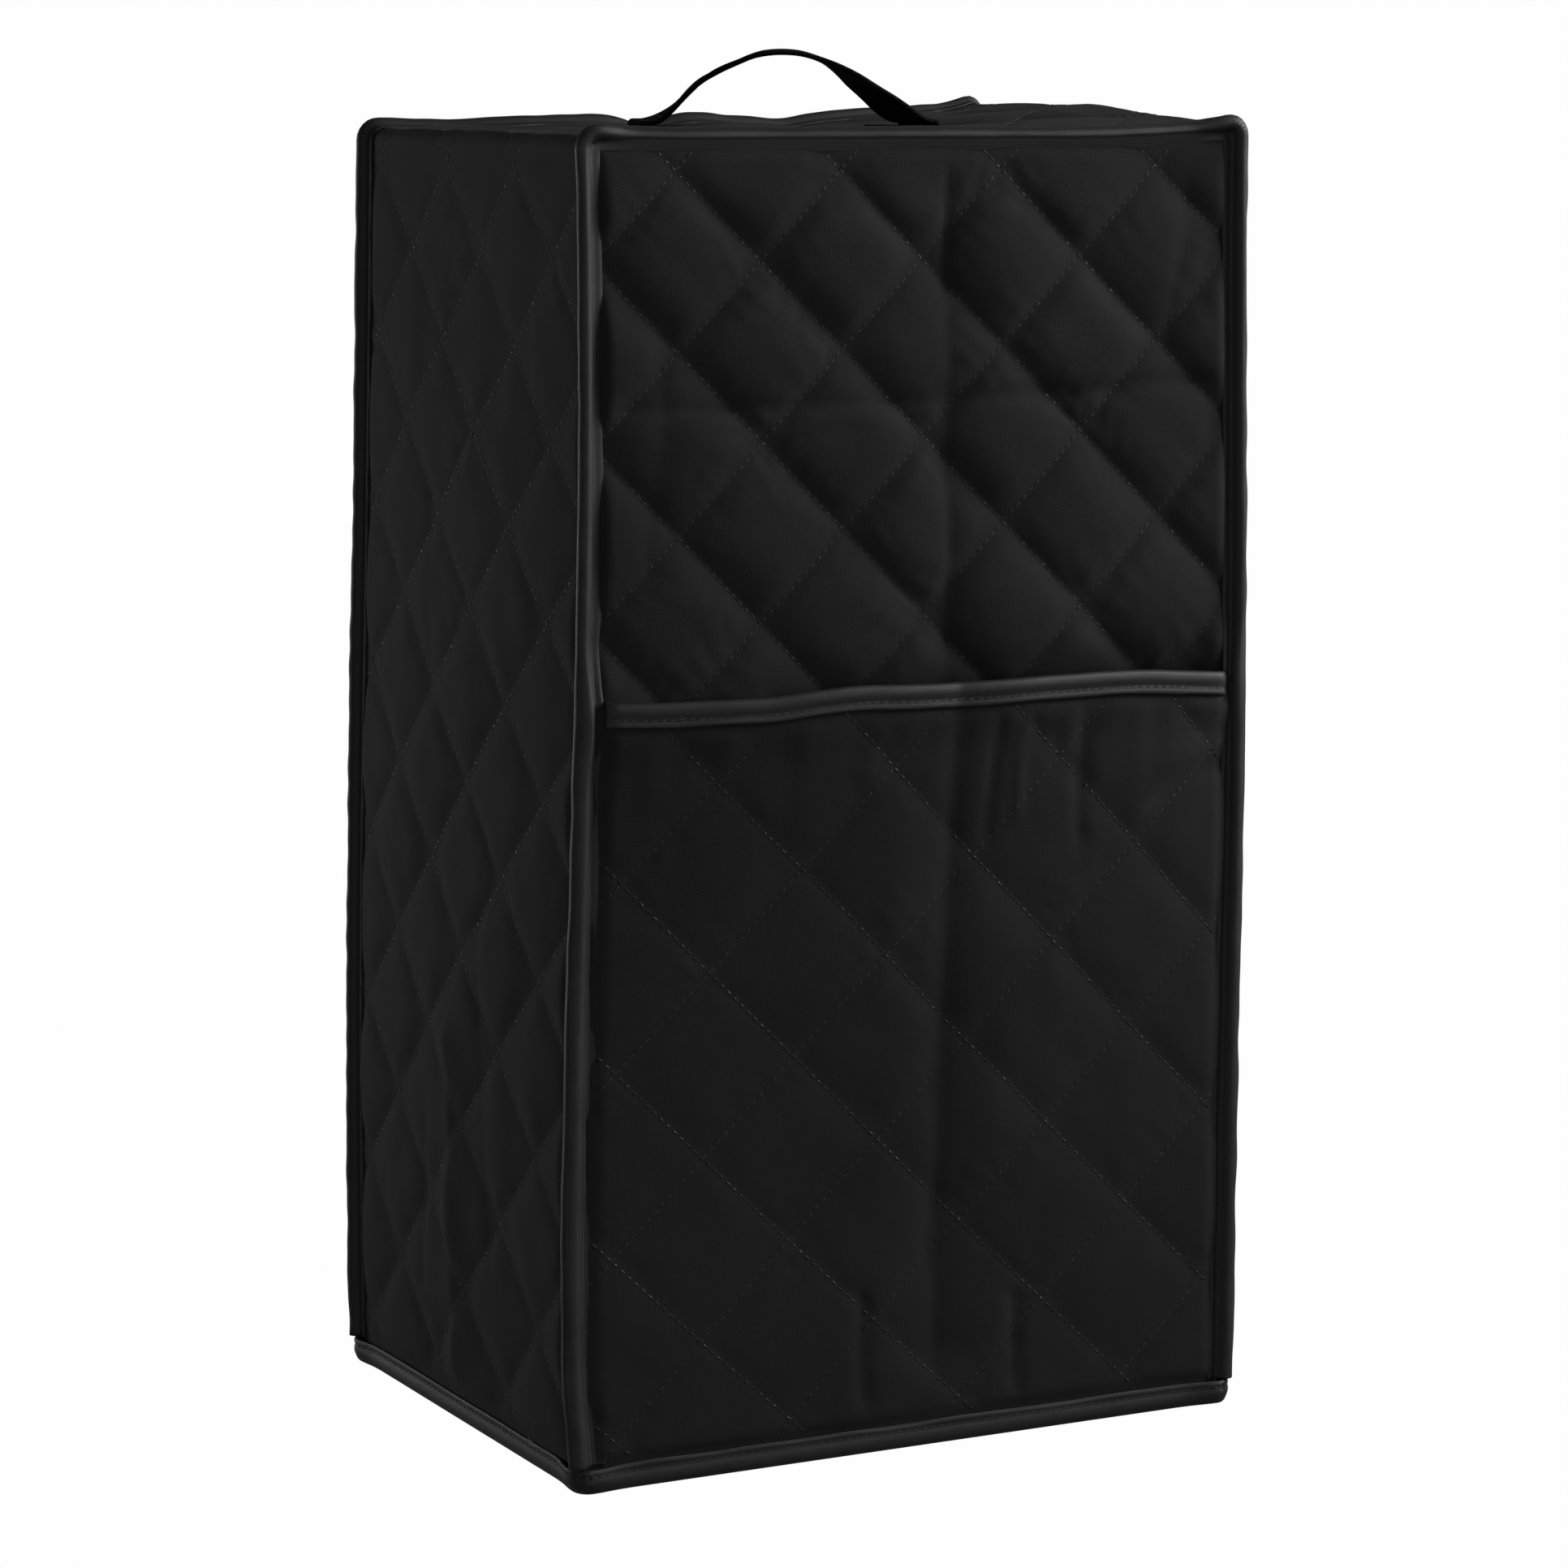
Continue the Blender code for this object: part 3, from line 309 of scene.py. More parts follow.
def gridCloth(name, columns, rows, skins, keep, crossing, diamond):
    # a closed sheet: the outer skin, the inner skin and a wall round its edge
    columns, rows = np.array(columns), np.array(rows)
    nu, nv = len(columns), len(rows)
    u, v = (part.ravel() for part in np.meshgrid(columns, rows, indexing="ij"))
    outer, inner, puff = skins(u, v)
    i, j = (part.ravel() for part in np.meshgrid(np.arange(nu - 1), np.arange(nv - 1), indexing="ij"))
    midU, midV = (columns[i] + columns[i + 1]) / 2, (rows[j] + rows[j + 1]) / 2
    kept = keep(midU, midV)
    i, j, midU, midV = i[kept], j[kept], midU[kept], midV[kept]
    corners = np.stack([i * nv + j, (i + 1) * nv + j, (i + 1) * nv + j + 1, i * nv + j + 1], 1)
    # the diagonal follows the nearer stitched line
    a = (midU - crossing[0] + midV - crossing[1]) / diamond
    b = (midU - crossing[0] - midV + crossing[1]) / diamond
    falling = np.abs(a - np.round(a)) < np.abs(b - np.round(b))
    corners[falling] = np.roll(corners[falling], -1, axis=1)
    front = np.concatenate([corners[:, [0, 1, 2]], corners[:, [0, 2, 3]]])
    count = nu * nv
    faces = [front, front[:, ::-1] + count]

    cells = np.zeros((nu + 1, nv + 1), bool)
    cells[i + 1, j + 1] = True
    ends = ((0, 0), (1, 0), (1, 1), (0, 1))
    for side, (di, dj) in enumerate(((0, -1), (1, 0), (0, 1), (-1, 0))):
        start, end = ends[side], ends[(side + 1) % 4]
        edge = ~cells[i + 1 + di, j + 1 + dj]
        first = (i[edge] + start[0]) * nv + j[edge] + start[1]
        last = (i[edge] + end[0]) * nv + j[edge] + end[1]
        meets = (np.abs(u[first]) > seamX - tiny) & (v[first] > seamTop - tiny)
        meets &= (np.abs(u[last]) > seamX - tiny) & (v[last] > seamTop - tiny)
        if name != "sideGusset":  # where the two flanges of a corner meet there is no edge
            first, last = first[~meets], last[~meets]
        faces.append(np.stack([last, first, first + count], 1))
        faces.append(np.stack([last, first + count, last + count], 1))
    faces = np.concatenate(faces)
    points = np.concatenate([outer, inner])

    mesh = bpy.data.meshes.new(name)
    mesh.from_pydata(points.tolist(), [], faces.tolist())
    cut = mesh.uv_layers.new(name="cut")
    onLoops = np.zeros(len(mesh.loops), int)
    mesh.loops.foreach_get("vertex_index", onLoops)
    flat = np.stack([np.concatenate([u, u]), np.concatenate([v, v])], 1)
    cut.data.foreach_set("uv", flat[onLoops].ravel())
    puffy = mesh.attributes.new("puff", "FLOAT", "POINT")
    puffy.data.foreach_set("value", np.concatenate([puff, puff]).astype(np.float32))
    return finishMesh(name, mesh)


def finishMesh(name, mesh):
    shape = bmesh.new()
    shape.from_mesh(mesh)
    bmesh.ops.remove_doubles(shape, verts=shape.verts, dist=0.01 * mm)
    bmesh.ops.dissolve_degenerate(shape, edges=shape.edges, dist=0.002 * mm)
    loose = [vertex for vertex in shape.verts if not vertex.link_faces]
    bmesh.ops.delete(shape, geom=loose, context="VERTS")
    bmesh.ops.recalc_face_normals(shape, faces=shape.faces)
    shape.to_mesh(mesh)
    shape.free()
    mesh.polygons.foreach_set("use_smooth", [True] * len(mesh.polygons))
    piece = bpy.data.objects.new(name, mesh)
    bpy.context.scene.collection.objects.link(piece)
    return piece


def turnedEdge(toward, outward, turned):
    # offset of a flange from its bend, and its normal on the face's side
    offset = (toward + outward) * (turned / math.sqrt(2))[:, None]
    return offset, (toward - outward) / math.sqrt(2)


def pressFlange(point, normal, turned, layer):
    # the binding squeezes the plies of a flange toward its middle
    squeeze = (1 - quilting["pressed"]) * smooth(turned / (2 * mm))
    return point - normal * (layer * squeeze)[:, None], normal, quilting["ply"] / 2 * (1 - squeeze)


def unit(vectors):
    return vectors / np.linalg.norm(vectors, axis=1)[:, None]


def panelLayout(u, v, facing, rise, stand):  # mid-thickness point and outward normal
    layer = seamHalf - quilting["ply"] / 2 + (rise - quilting["plyRise"])
    inset = math.sqrt(2) * layer - rise
    flange = quilting["flange"] - math.sqrt(2) * (rise - layer / math.sqrt(2))
    halfWidth, ceiling, radius = seamX - inset, seamTop - inset, cover["cornerRadius"] - inset
    side, over = np.abs(u) - seamX, v - seamTop
    turned = np.maximum(np.maximum(side, over), 0)
    atSeam = (side > -tiny) | (over > -tiny)
    x, z = np.clip(u, -halfWidth, halfWidth), np.minimum(v, ceiling)
    sign = np.where(u < 0, -1.0, 1.0)
    outward = np.zeros((len(u), 3))
    outward[:, 0] = np.where(over > -tiny, 0, sign)
    outward[:, 2] = np.where(over > -tiny, 1, 0)
    a, b = (np.abs(x) - (halfWidth - radius)) / radius, (z - (ceiling - radius)) / radius
    corner = (a > tiny) & (b > tiny)
    hyp = np.where(corner, np.hypot(a, b), 1)
    reach = np.maximum(a, b) / hyp
    x = np.where(corner, sign * (halfWidth - radius + a * reach * radius), x)
    z = np.where(corner, ceiling - radius + b * reach * radius, z)
    outward[corner, 0] = (sign * a / hyp)[corner]
    outward[corner, 2] = (b / hyp)[corner]
    face = np.zeros((len(u), 3))
    face[:, 1] = facing
    point = np.stack([x, np.zeros(len(u)), z], 1) + face * (seamY + rise + stand)[:, None]
    normal = face.copy()
    offset, across = turnedEdge(face, outward, turned * flange / quilting["flange"])
    point[atSeam] += offset[atSeam]
    normal[atSeam] = unit(face + across)[atSeam]
    normal[turned > 0] = across[turned > 0]
    return pressFlange(point, normal, turned, layer)


def bodyPuff(face, u, v, seed):
    rising = quilting["risingLines"] if face == "front" else 0.8
    share, offA, offB = puffShare(u, v, quilting["panelCrossing"], quilting["bodyDiamond"], seed, rising)
    edge = np.minimum(seamX - np.abs(u), seamTop - v)
    edge = np.minimum(edge, v - quilting["hemTop"])
    plain = smooth((edge - 1.5 * mm) / quilting["plainStrip"])
    high = quilting["bodyPuff"]
    if face == "front":
        low = quilting["behindPocketPuff"]
        high = low + (high - low) * smooth((v - 246 * mm) / (30 * mm))
    high = high * (0.35 + 0.65 * smooth((seamTop - v) / (26 * mm)))
    relief = high * share + puckers(u, v, offA, offB, seed)
    return relief * plain, share * plain, smallCreaseDepth(face, u, v) * plain


def panelSkins(face):
    facing = -1.0 if face == "front" else 1.0

    def skins(u, v):
        point, normal, half = panelLayout(u, v, facing, quilting["plyRise"], np.zeros(len(u)))
        relief, share, crease = bodyPuff(face, u, v, 3 if face == "front" else 5)
        outer = settle(point + normal * (half + relief - crease)[:, None])
        inner = settle(point - normal * (half + quilting["innerPuff"] * share + crease)[:, None])
        return outer, inner, share

    return skins


def stripLines(half, flange, crossing, spacing, margin=1.2 * mm):
    # grid lines across a piece: two in each flange, one on each seam, the quilting between
    inner = [line for line in lattice(-half + margin, half - margin, crossing, spacing)]
    return [-half - flange, -half - flange / 2, -half] + inner + [half, half + flange / 2, half + flange]


def makePanel(name, face):
    crossing, diamond = quilting["panelCrossing"], quilting["bodyDiamond"]
    spacing = diamond / quilting["cellsPerDiamond"][face]
    flange = quilting["flange"]
    columns = stripLines(seamX, flange, crossing[0], spacing)
    rows = [quilting["clothFoot"], 5 * mm, quilting["hemTop"]]
    rows += lattice(quilting["hemTop"] + 1.2 * mm, seamTop - 1.2 * mm, crossing[1], spacing)
    rows += [seamTop, seamTop + flange / 2, seamTop + flange]

    def keep(u, v):
        corner = (np.abs(u) > seamX) & (v > seamTop)
        return ((np.abs(u) < seamX) | (v > quilting["hemTop"])) & ~corner

    return gridCloth(name, columns, rows, panelSkins(face), keep, crossing, diamond)


sideRun = seamTop - cover["cornerRadius"]
bendRun = cover["cornerRadius"] * math.pi / 2
topRun = 2 * (seamX - cover["cornerRadius"])
pathRun = 2 * sideRun + 2 * bendRun + topRun


def seamPath(travel):  # up the left side, over the top and down the right
    radius = cover["cornerRadius"]
    travel = np.asarray(travel, float)
    mirrored = travel > pathRun / 2
    climb = np.where(mirrored, pathRun - travel, travel)
    turn = np.clip((climb - sideRun) / radius, 0, math.pi / 2)
    x = -(seamX - radius) - radius * np.cos(turn) + np.maximum(climb - sideRun - bendRun, 0)
    z = np.minimum(climb, sideRun) + radius * np.sin(turn)
    sign = np.where(mirrored, -1.0, 1.0)
    outward = np.stack([-np.cos(turn) * sign, np.zeros(len(turn)), np.sin(turn)], 1)
    return x * sign, z, outward


def gussetLayout(u, v):  # u runs from front to back, v along the seam path
    x, z, outward = seamPath(v)
    turned = np.maximum(np.abs(u) - seamY, 0)
    atSeam = np.abs(u) > seamY - tiny
    toward = np.zeros((len(u), 3))
    toward[:, 1] = np.where(u < 0, -1.0, 1.0)
    y = np.clip(u, -seamY, seamY) * (seamY - quilting["plyRise"]) / seamY
    point = np.stack([x, y, z], 1) + outward * quilting["plyRise"]
    normal = outward.copy()
    offset, across = turnedEdge(outward, toward, turned)
    point[atSeam] += offset[atSeam]
    normal[atSeam] = unit(outward + across)[atSeam]
    normal[turned > 0] = across[turned > 0]
    return pressFlange(point, normal, turned, seamHalf - quilting["ply"] / 2)


def gussetSkins(u, v):
    point, normal, half = gussetLayout(u, v)
    share, offA, offB = puffShare(u, v, quilting["gussetCrossing"], quilting["bodyDiamond"], 8, 0.9)
    edge = np.minimum(seamY - np.abs(u), np.minimum(v, pathRun - v) - quilting["hemTop"])
    plain = smooth((edge - 1.5 * mm) / quilting["plainStrip"])
    foot = 0
    wide, deep = quilting["footSize"]
    for x, y in quilting["underFeet"]:
        foot = foot + smooth((wide - np.abs(point[:, 0] / mm - x)) / 5) * smooth((deep - np.abs(u / mm - y)) / 5)
    foot = foot * ((v > sideRun) & (v < pathRun - sideRun))
    onTop = smooth((np.minimum(v, pathRun - v) - sideRun) / (20 * mm))
    nearBend = np.abs(np.minimum(v, pathRun - v) - sideRun - bendRun / 2)
    high = quilting["sidePuff"] * (1 - 0.45 * smooth((v - 200 * mm) / (170 * mm)) * (v < sideRun))
    high = np.where(onTop > 0, quilting["topPuff"], high)
    relief = high * share + puckers(u, v, offA, offB, 8)
    relief *= 0.35 + 0.65 * smooth((nearBend - 3 * mm) / (22 * mm))
    relief = (relief * (1 - foot) + quilting["footLift"] * foot) * plain
    crease = smallCreaseDepth("gusset", u, v) * plain
    outer = settle(point + normal * (half + relief - crease)[:, None])
    inner = settle(point - normal * (half + quilting["innerPuff"] * share * plain + crease)[:, None])
    return outer, inner, share * plain


def makeGusset():
    crossing, diamond = quilting["gussetCrossing"], quilting["bodyDiamond"]
    spacing = diamond / quilting["cellsPerDiamond"]["gusset"]
    columns = stripLines(seamY, quilting["flange"], crossing[0], spacing)
    bends = [start + bendRun * step / 4 for start in (sideRun, pathRun - sideRun - bendRun) for step in range(5)]
    ends = [quilting["clothFoot"], 5 * mm, quilting["hemTop"]]
    fixed = bends + [pathRun - end for end in ends] + ends
    rows = lattice(quilting["hemTop"] + 1.2 * mm, pathRun - quilting["hemTop"] - 1.2 * mm, crossing[1], spacing)
    rows = sorted(fixed + [row for row in rows if min(abs(row - bend) for bend in bends) > 1.0 * mm])

    def keep(u, v):
        return (np.abs(u) < seamY) | ((v > quilting["hemTop"]) & (v < pathRun - quilting["hemTop"]))

    return gridCloth("sideGusset", columns, rows, gussetSkins, keep, crossing, diamond)


pocket = {
    "top": 261.5 * mm,
    "tapeHeight": 8.0 * mm,
    "rise": 2.3 * mm,  # mid-thickness over the seam's root
    "relief": 1.0 * mm,  # how far it stands clear of the panel
    "clear": 7.5 * mm,
    "mouthLift": 1.5 * mm,
    "mouthRun": 16 * mm,
    "mouthStand": 6.5 * mm,
}
mouthLine = {  # how far the mouth stands above its nominal top, in mm
    "x": (-120, -108, -90, -60, -42, -27, -8, 10, 51, 82, 98, 120),
    "rise": (3.2, 2, 1.6, 1.5, 2.9, 3.7, 3, 2.6, 2.9, 2.2, 0.7, -1.3),
}
pocketPlain = quilting["plainStrip"]


def mouthLift(height):
    foot = pocket["top"] - pocket["tapeHeight"] - pocket["mouthRun"]
    return pocket["mouthLift"] * smooth((height - foot) / pocket["mouthRun"])


def pocketLayout(u, v):
    side = np.clip((seamX - np.abs(u) - pocketPlain) / (pocket["clear"] - pocketPlain), 0, 1)
    foot = np.clip((v - quilting["hemTop"]) / (pocket["clear"] - pocketPlain), 0, 1)
    gape = arch(u / (2 * seamX) + 0.5) * smooth(v / pocket["top"]) ** 3
    stand = pocket["relief"] * smooth(side) * foot + pocket["mouthStand"] * gape * side + mouthLift(v)
    point, normal, half = panelLayout(u, v, -1.0, pocket["rise"], stand)
    point[:, 2] += readCurve(mouthLine["x"], mouthLine["rise"], u / mm) * mm * smooth(v / pocket["top"]) ** 2
    return point, normal, half


def pocketSkins(u, v):
    point, normal, half = pocketLayout(u, v)
    share, offA, offB = puffShare(u, v, quilting["pocketCrossing"], quilting["pocketDiamond"], 21, 0.6)
    tapeFoot = pocket["top"] - pocket["tapeHeight"]
    edge = np.minimum(seamX - np.abs(u), np.minimum(v - quilting["hemTop"], tapeFoot - v))
    plain = smooth((edge - 0.5 * mm) / pocketPlain)
    gather = 0.35 * mm * ripple(u, v * 0.25, 17 * mm, 31)
    gather *= smooth((v - tapeFoot + 45 * mm) / (45 * mm)) * smooth((tapeFoot + 2 * mm - v) / (9 * mm))
    # it is drawn flatter toward the foot and the left
    slackness = 0.45 + 0.55 * smooth((u / (2 * seamX) + v / pocket["top"] - 0.1) / 0.9)
    relief = quilting["pocketPuff"] * slackness * share + 0.6 * puckers(u, v, offA, offB, 22)
    crease = (smallCreaseDepth("pocket", u, v) - gather) * plain
    outer = settle(point + normal * (half + relief * plain - crease)[:, None])
    inner = settle(point - normal * (half + (quilting["innerPuff"] - 0.2 * mm) * share * plain + crease)[:, None])
    return outer, inner, share * plain


def makePocket():
    crossing, diamond = quilting["pocketCrossing"], quilting["pocketDiamond"]
    spacing = diamond / quilting["cellsPerDiamond"]["pocket"]
    columns = stripLines(seamX, quilting["flange"], crossing[0], spacing)
    tapeFoot = pocket["top"] - pocket["tapeHeight"]
    rows = [quilting["clothFoot"], 5 * mm, quilting["hemTop"]]
    rows += lattice(quilting["hemTop"] + 1.2 * mm, tapeFoot - 1.2 * mm, crossing[1], spacing)
    rows += [tapeFoot, pocket["top"] - 4 * mm, pocket["top"] - 1.4 * mm]

    def keep(u, v):
        caught = v < tapeFoot - pocket["mouthRun"]
        return (np.abs(u) < seamX) | ((v > quilting["hemTop"]) & caught)

    return gridCloth("patchPocket", columns, rows, pocketSkins, keep, crossing, diamond)


quiltedFront = makePanel("quiltedFront", "front")
quiltedBack = makePanel("quiltedBack", "back")
sideGusset = makeGusset()
patchPocket = makePocket()
print("quilted pieces laid out")

# Tape folded over the two upright seams.
tape = {
    "step": 1.6 * mm,  # between sections
    "waver": 0.14 * mm,  # how unevenly it is sewn
    "bobble": 0.16 * mm,  # how far it swells between stitches
    "stitchPitch": 3.2 * mm,
    "topTrim": 0.42,  # how much shorter the fold stands along the top's front edge
    "topPress": 0.85 * mm,  # how far its lip is pressed into the padding there
    "cornerTrim": 0.5,  # the same as the first, at the top's back right corner
    "cornerReach": 22 * mm,
    "spreadLeft": 3.2 * mm,
    "spreadRight": 0.8 * mm,
}


def sweepMesh(name, sections, closed, around, along, worn):
    # sections is (stations, points, 3); around and along are the cut's own measures
    stations, points = sections.shape[:2]
    ring = np.arange(points)
    faces = []
    last = stations if closed else stations - 1
    for row in range(last):
        following = (row + 1) % stations
        a, b = row * points + ring, row * points + np.roll(ring, -1)
        c, d = following * points + np.roll(ring, -1), following * points + ring
        faces.append(np.stack([a, b, c, d], 1))
    faces = np.concatenate(faces).tolist()
    if not closed:
        faces.append(ring[::-1].tolist())
        faces.append((ring + (stations - 1) * points).tolist())
    mesh = bpy.data.meshes.new(name)
    mesh.from_pydata(sections.reshape(-1, 3).tolist(), [], faces)
    cut = mesh.uv_layers.new(name="cut")
    onLoops = np.zeros(len(mesh.loops), int)
    mesh.loops.foreach_get("vertex_index", onLoops)
    flat = np.stack([np.tile(around, stations), np.repeat(along, points)], 1)
    cut.data.foreach_set("uv", flat[onLoops].ravel())
    rubbed = mesh.attributes.new("worn", "FLOAT", "POINT")
    rubbed.data.foreach_set("value", np.tile(worn, stations).astype(np.float32))
    return finishMesh(name, mesh)


# One leg of the tape round an upright seam, from its lip on the cloth to the fold, and
# back inside: (along the flange, away from its middle, how worn), in mm.
legOutside = (
    (-1.30, 3.45, 0.1),
    (-1.28, 3.85, 0.4),
    (-0.80, 3.98, 0.7),
    (0.00, 3.30, 0.6),
    (0.80, 2.42, 0.2),
    (1.60, 1.92, 0.0),
    (2.40, 2.02, 0.1),
    (3.40, 2.28, 0.3),
    (4.50, 2.26, 0.5),
    (5.45, 1.92, 0.8),
    (6.10, 1.22, 1.0),
    (6.42, 0.42, 1.0),
)
legInside = ((5.3, 1.25, 0.0), (3.0, 1.30, 0.0), (0.45, 1.72, 0.0))


def seamTapeSections(travels, toward, extra, spread, wander):
    x, z, outward = seamPath(travels)
    toward = np.tile(np.array([0.0, toward, 0.0]), (len(travels), 1))
    root = np.stack([x, np.zeros(len(x)), z], 1) + toward * seamY
    along, across = (outward + toward) / math.sqrt(2), (outward - toward) / math.sqrt(2)
    swell = tape["bobble"] * np.cos(travels * 2 * math.pi / tape["stitchPitch"])
    flareBy = math.sqrt(2) - 1  # the lip slides along the cloth as the layers under it thicken
    none = np.zeros(len(travels))
    legs = {}
    onTop = smooth((seamX - np.abs(x) - 2 * mm) / (16 * mm)) * (toward[:, 1] < 0)
    nearCorner = np.exp(-((np.hypot(x - seamX, z - seamTop) / tape["cornerReach"]) ** 2)) * (toward[:, 1] > 0)
    trim = tape["topTrim"] * onTop + tape["cornerTrim"] * nearCorner
    for sign, more, aside, seed in ((1, none, none, wander), (-1, extra, spread, wander + 3)):
        waver = tape["waver"] * ripple(travels, travels * 0, 34 * mm, seed, 6)
        waver += 0.5 * tape["waver"] * ripple(travels, travels * 0, 11 * mm, seed + 1, 6)
        leg = []
        for a, b, _ in legOutside + legInside:
            lip = smooth((1.2 - a) / 1.5)
            rest = 0.0 if b < 1.8 else 1.0
            groove = math.exp(-(((a - 1.6) / 1.1) ** 2)) * rest
            tip = smooth((a - 4.5) / 2)
            slide = aside * smooth((3.6 - a) / 3.6) * rest / math.sqrt(2)
            press = tape["topPress"] * onTop * lip * rest * (sign < 0) / math.sqrt(2)
            awayBy = b * mm + more * (1 - 0.35 * tip) + waver * (0.6 + 0.9 * lip) + swell * groove + slide - press
            outBy = a * mm + flareBy * more * lip - waver * 1.6 * lip + waver * tip - slide
            outBy = outBy - trim * max(a - 1.6, 0) * mm - press
            leg.append(root + along * outBy[:, None] + across * (sign * awayBy)[:, None])
        legs[sign] = leg
    count = len(legOutside)
    gussetLeg, panelLeg = legs[1], legs[-1]
    order = gussetLeg[:count] + panelLeg[:count][::-1] + panelLeg[count:][::-1] + gussetLeg[count:]
    return np.stack([settle(part) for part in order], 1)


def tapeProfileMeasures():
    outside = list(legOutside) + [(a, -b, w) for a, b, w in legOutside[::-1]]
    inside = [(a, -b, w) for a, b, w in legInside[::-1]] + list(legInside)
    loop = outside + inside
    around = [0.0]
    for (a0, b0, _), (a1, b1, _) in zip(loop, loop[1:]):
        around.append(around[-1] + math.hypot(a1 - a0, b1 - b0) * mm)
    return np.array(around), np.array([w for _, _, w in loop])


def pocketLayer(height):
    blend = 1 - smooth((height - pocket["top"] + 4 * mm) / (26 * mm))
    return (quilting["ply"] + quilting["gap"] + mouthLift(height)) * blend * quilting["pressed"]


def pocketSpread(travels, height):  # the lip lies wider over the pocket, most at the left foot
    widest = np.where(travels < pathRun / 2, tape["spreadLeft"], tape["spreadRight"])
    return widest * smooth((pocket["top"] - height) / (190 * mm))


def tapeTravels(start, end):
    straight = np.arange(start, end, tape["step"])
    bends = [at + bendRun * step / 6 for at in (sideRun, pathRun - sideRun - bendRun) for step in range(7)]
    far = np.min(np.abs(straight[:, None] - np.array(bends)[None, :]), 1) > 0.7 * mm
    return np.array(sorted(list(straight[far]) + bends + [end]))


def makeSeamTape(name, toward, hasPocket, wander):
    travels = tapeTravels(quilting["hemTop"], pathRun - quilting["hemTop"])
    _, z, _ = seamPath(travels)
    extra = pocketLayer(z) if hasPocket else np.zeros(len(travels))
    spread = pocketSpread(travels, z) if hasPocket else np.zeros(len(travels))
    sections = seamTapeSections(travels, toward, extra, spread, wander)
    around, worn = tapeProfileMeasures()
    return sweepMesh(name, sections, False, around, travels, worn)


frontTape = makeSeamTape("frontTape", -1.0, True, 41)
backTape = makeSeamTape("backTape", 1.0, False, 51)

# Hem tape: (outward from the cloth's outer face, height, worn), in mm, outside then inside.
hem = {
    "bend": 1.5 * mm,
    "cornerBulge": 2.3 * mm,  # round the seam allowances folded into each corner
    "bulgeReach": 8 * mm,
}
hemOutside = (
    (0.10, 8.5, 0.2),
    (0.55, 8.55, 0.6),
    (0.85, 8.1, 0.8),
    (0.92, 7.2, 0.4),
    (0.62, 6.2, 0.0),
    (0.95, 5.2, 0.3),
    (1.22, 3.8, 0.4),
    (1.15, 2.2, 0.7),
    (0.85, 0.9, 1.0),
    (0.25, 0.12, 1.0),
    (-0.5, 0.0, 0.6),
)
hemGroove = hemOutside[4]  # where the stitches lie
slotHalf = quilting["ply"] / 2 + quilting["gap"]


def hemStations():  # (point on the root, outward, distance from the nearest corner, pocket's share)
    farX, farY, bend = seamX - hem["bend"], seamY - hem["bend"], hem["bend"]
    corners = ((-farX, -farY), (farX, -farY), (farX, farY), (-farX, farY))
    facing = ((0, -1), (1, 0), (0, 1), (-1, 0))
    rows = []
    for index in range(4):
        (x0, y0), (x1, y1) = corners[index], corners[(index + 1) % 4]
        fx, fy = facing[index]
        nx, ny = facing[(index + 1) % 4]
        length = math.hypot(x1 - x0, y1 - y0)
        steps = round(length / tape["step"])
        onFront = 1.0 if index == 0 else 0.0
        nextFront = 1.0 if index == 3 else 0.0
        for step in range(steps + 1):
            share = step / steps
            x, y = x0 + (x1 - x0) * share + fx * bend, y0 + (y1 - y0) * share + fy * bend
            near = min(share, 1 - share) * length
            rows.append((x, y, fx, fy, near, onFront))
        for step in range(1, 8):
            angle = math.pi / 2 * step / 8
            ox, oy = fx * math.cos(angle) + nx * math.sin(angle), fy * math.cos(angle) + ny * math.sin(angle)
            share = smooth(step / 8) * nextFront + smooth(1 - step / 8) * onFront
            rows.append((x1 + ox * bend, y1 + oy * bend, ox, oy, 0.0, float(share)))
    return np.array(rows)


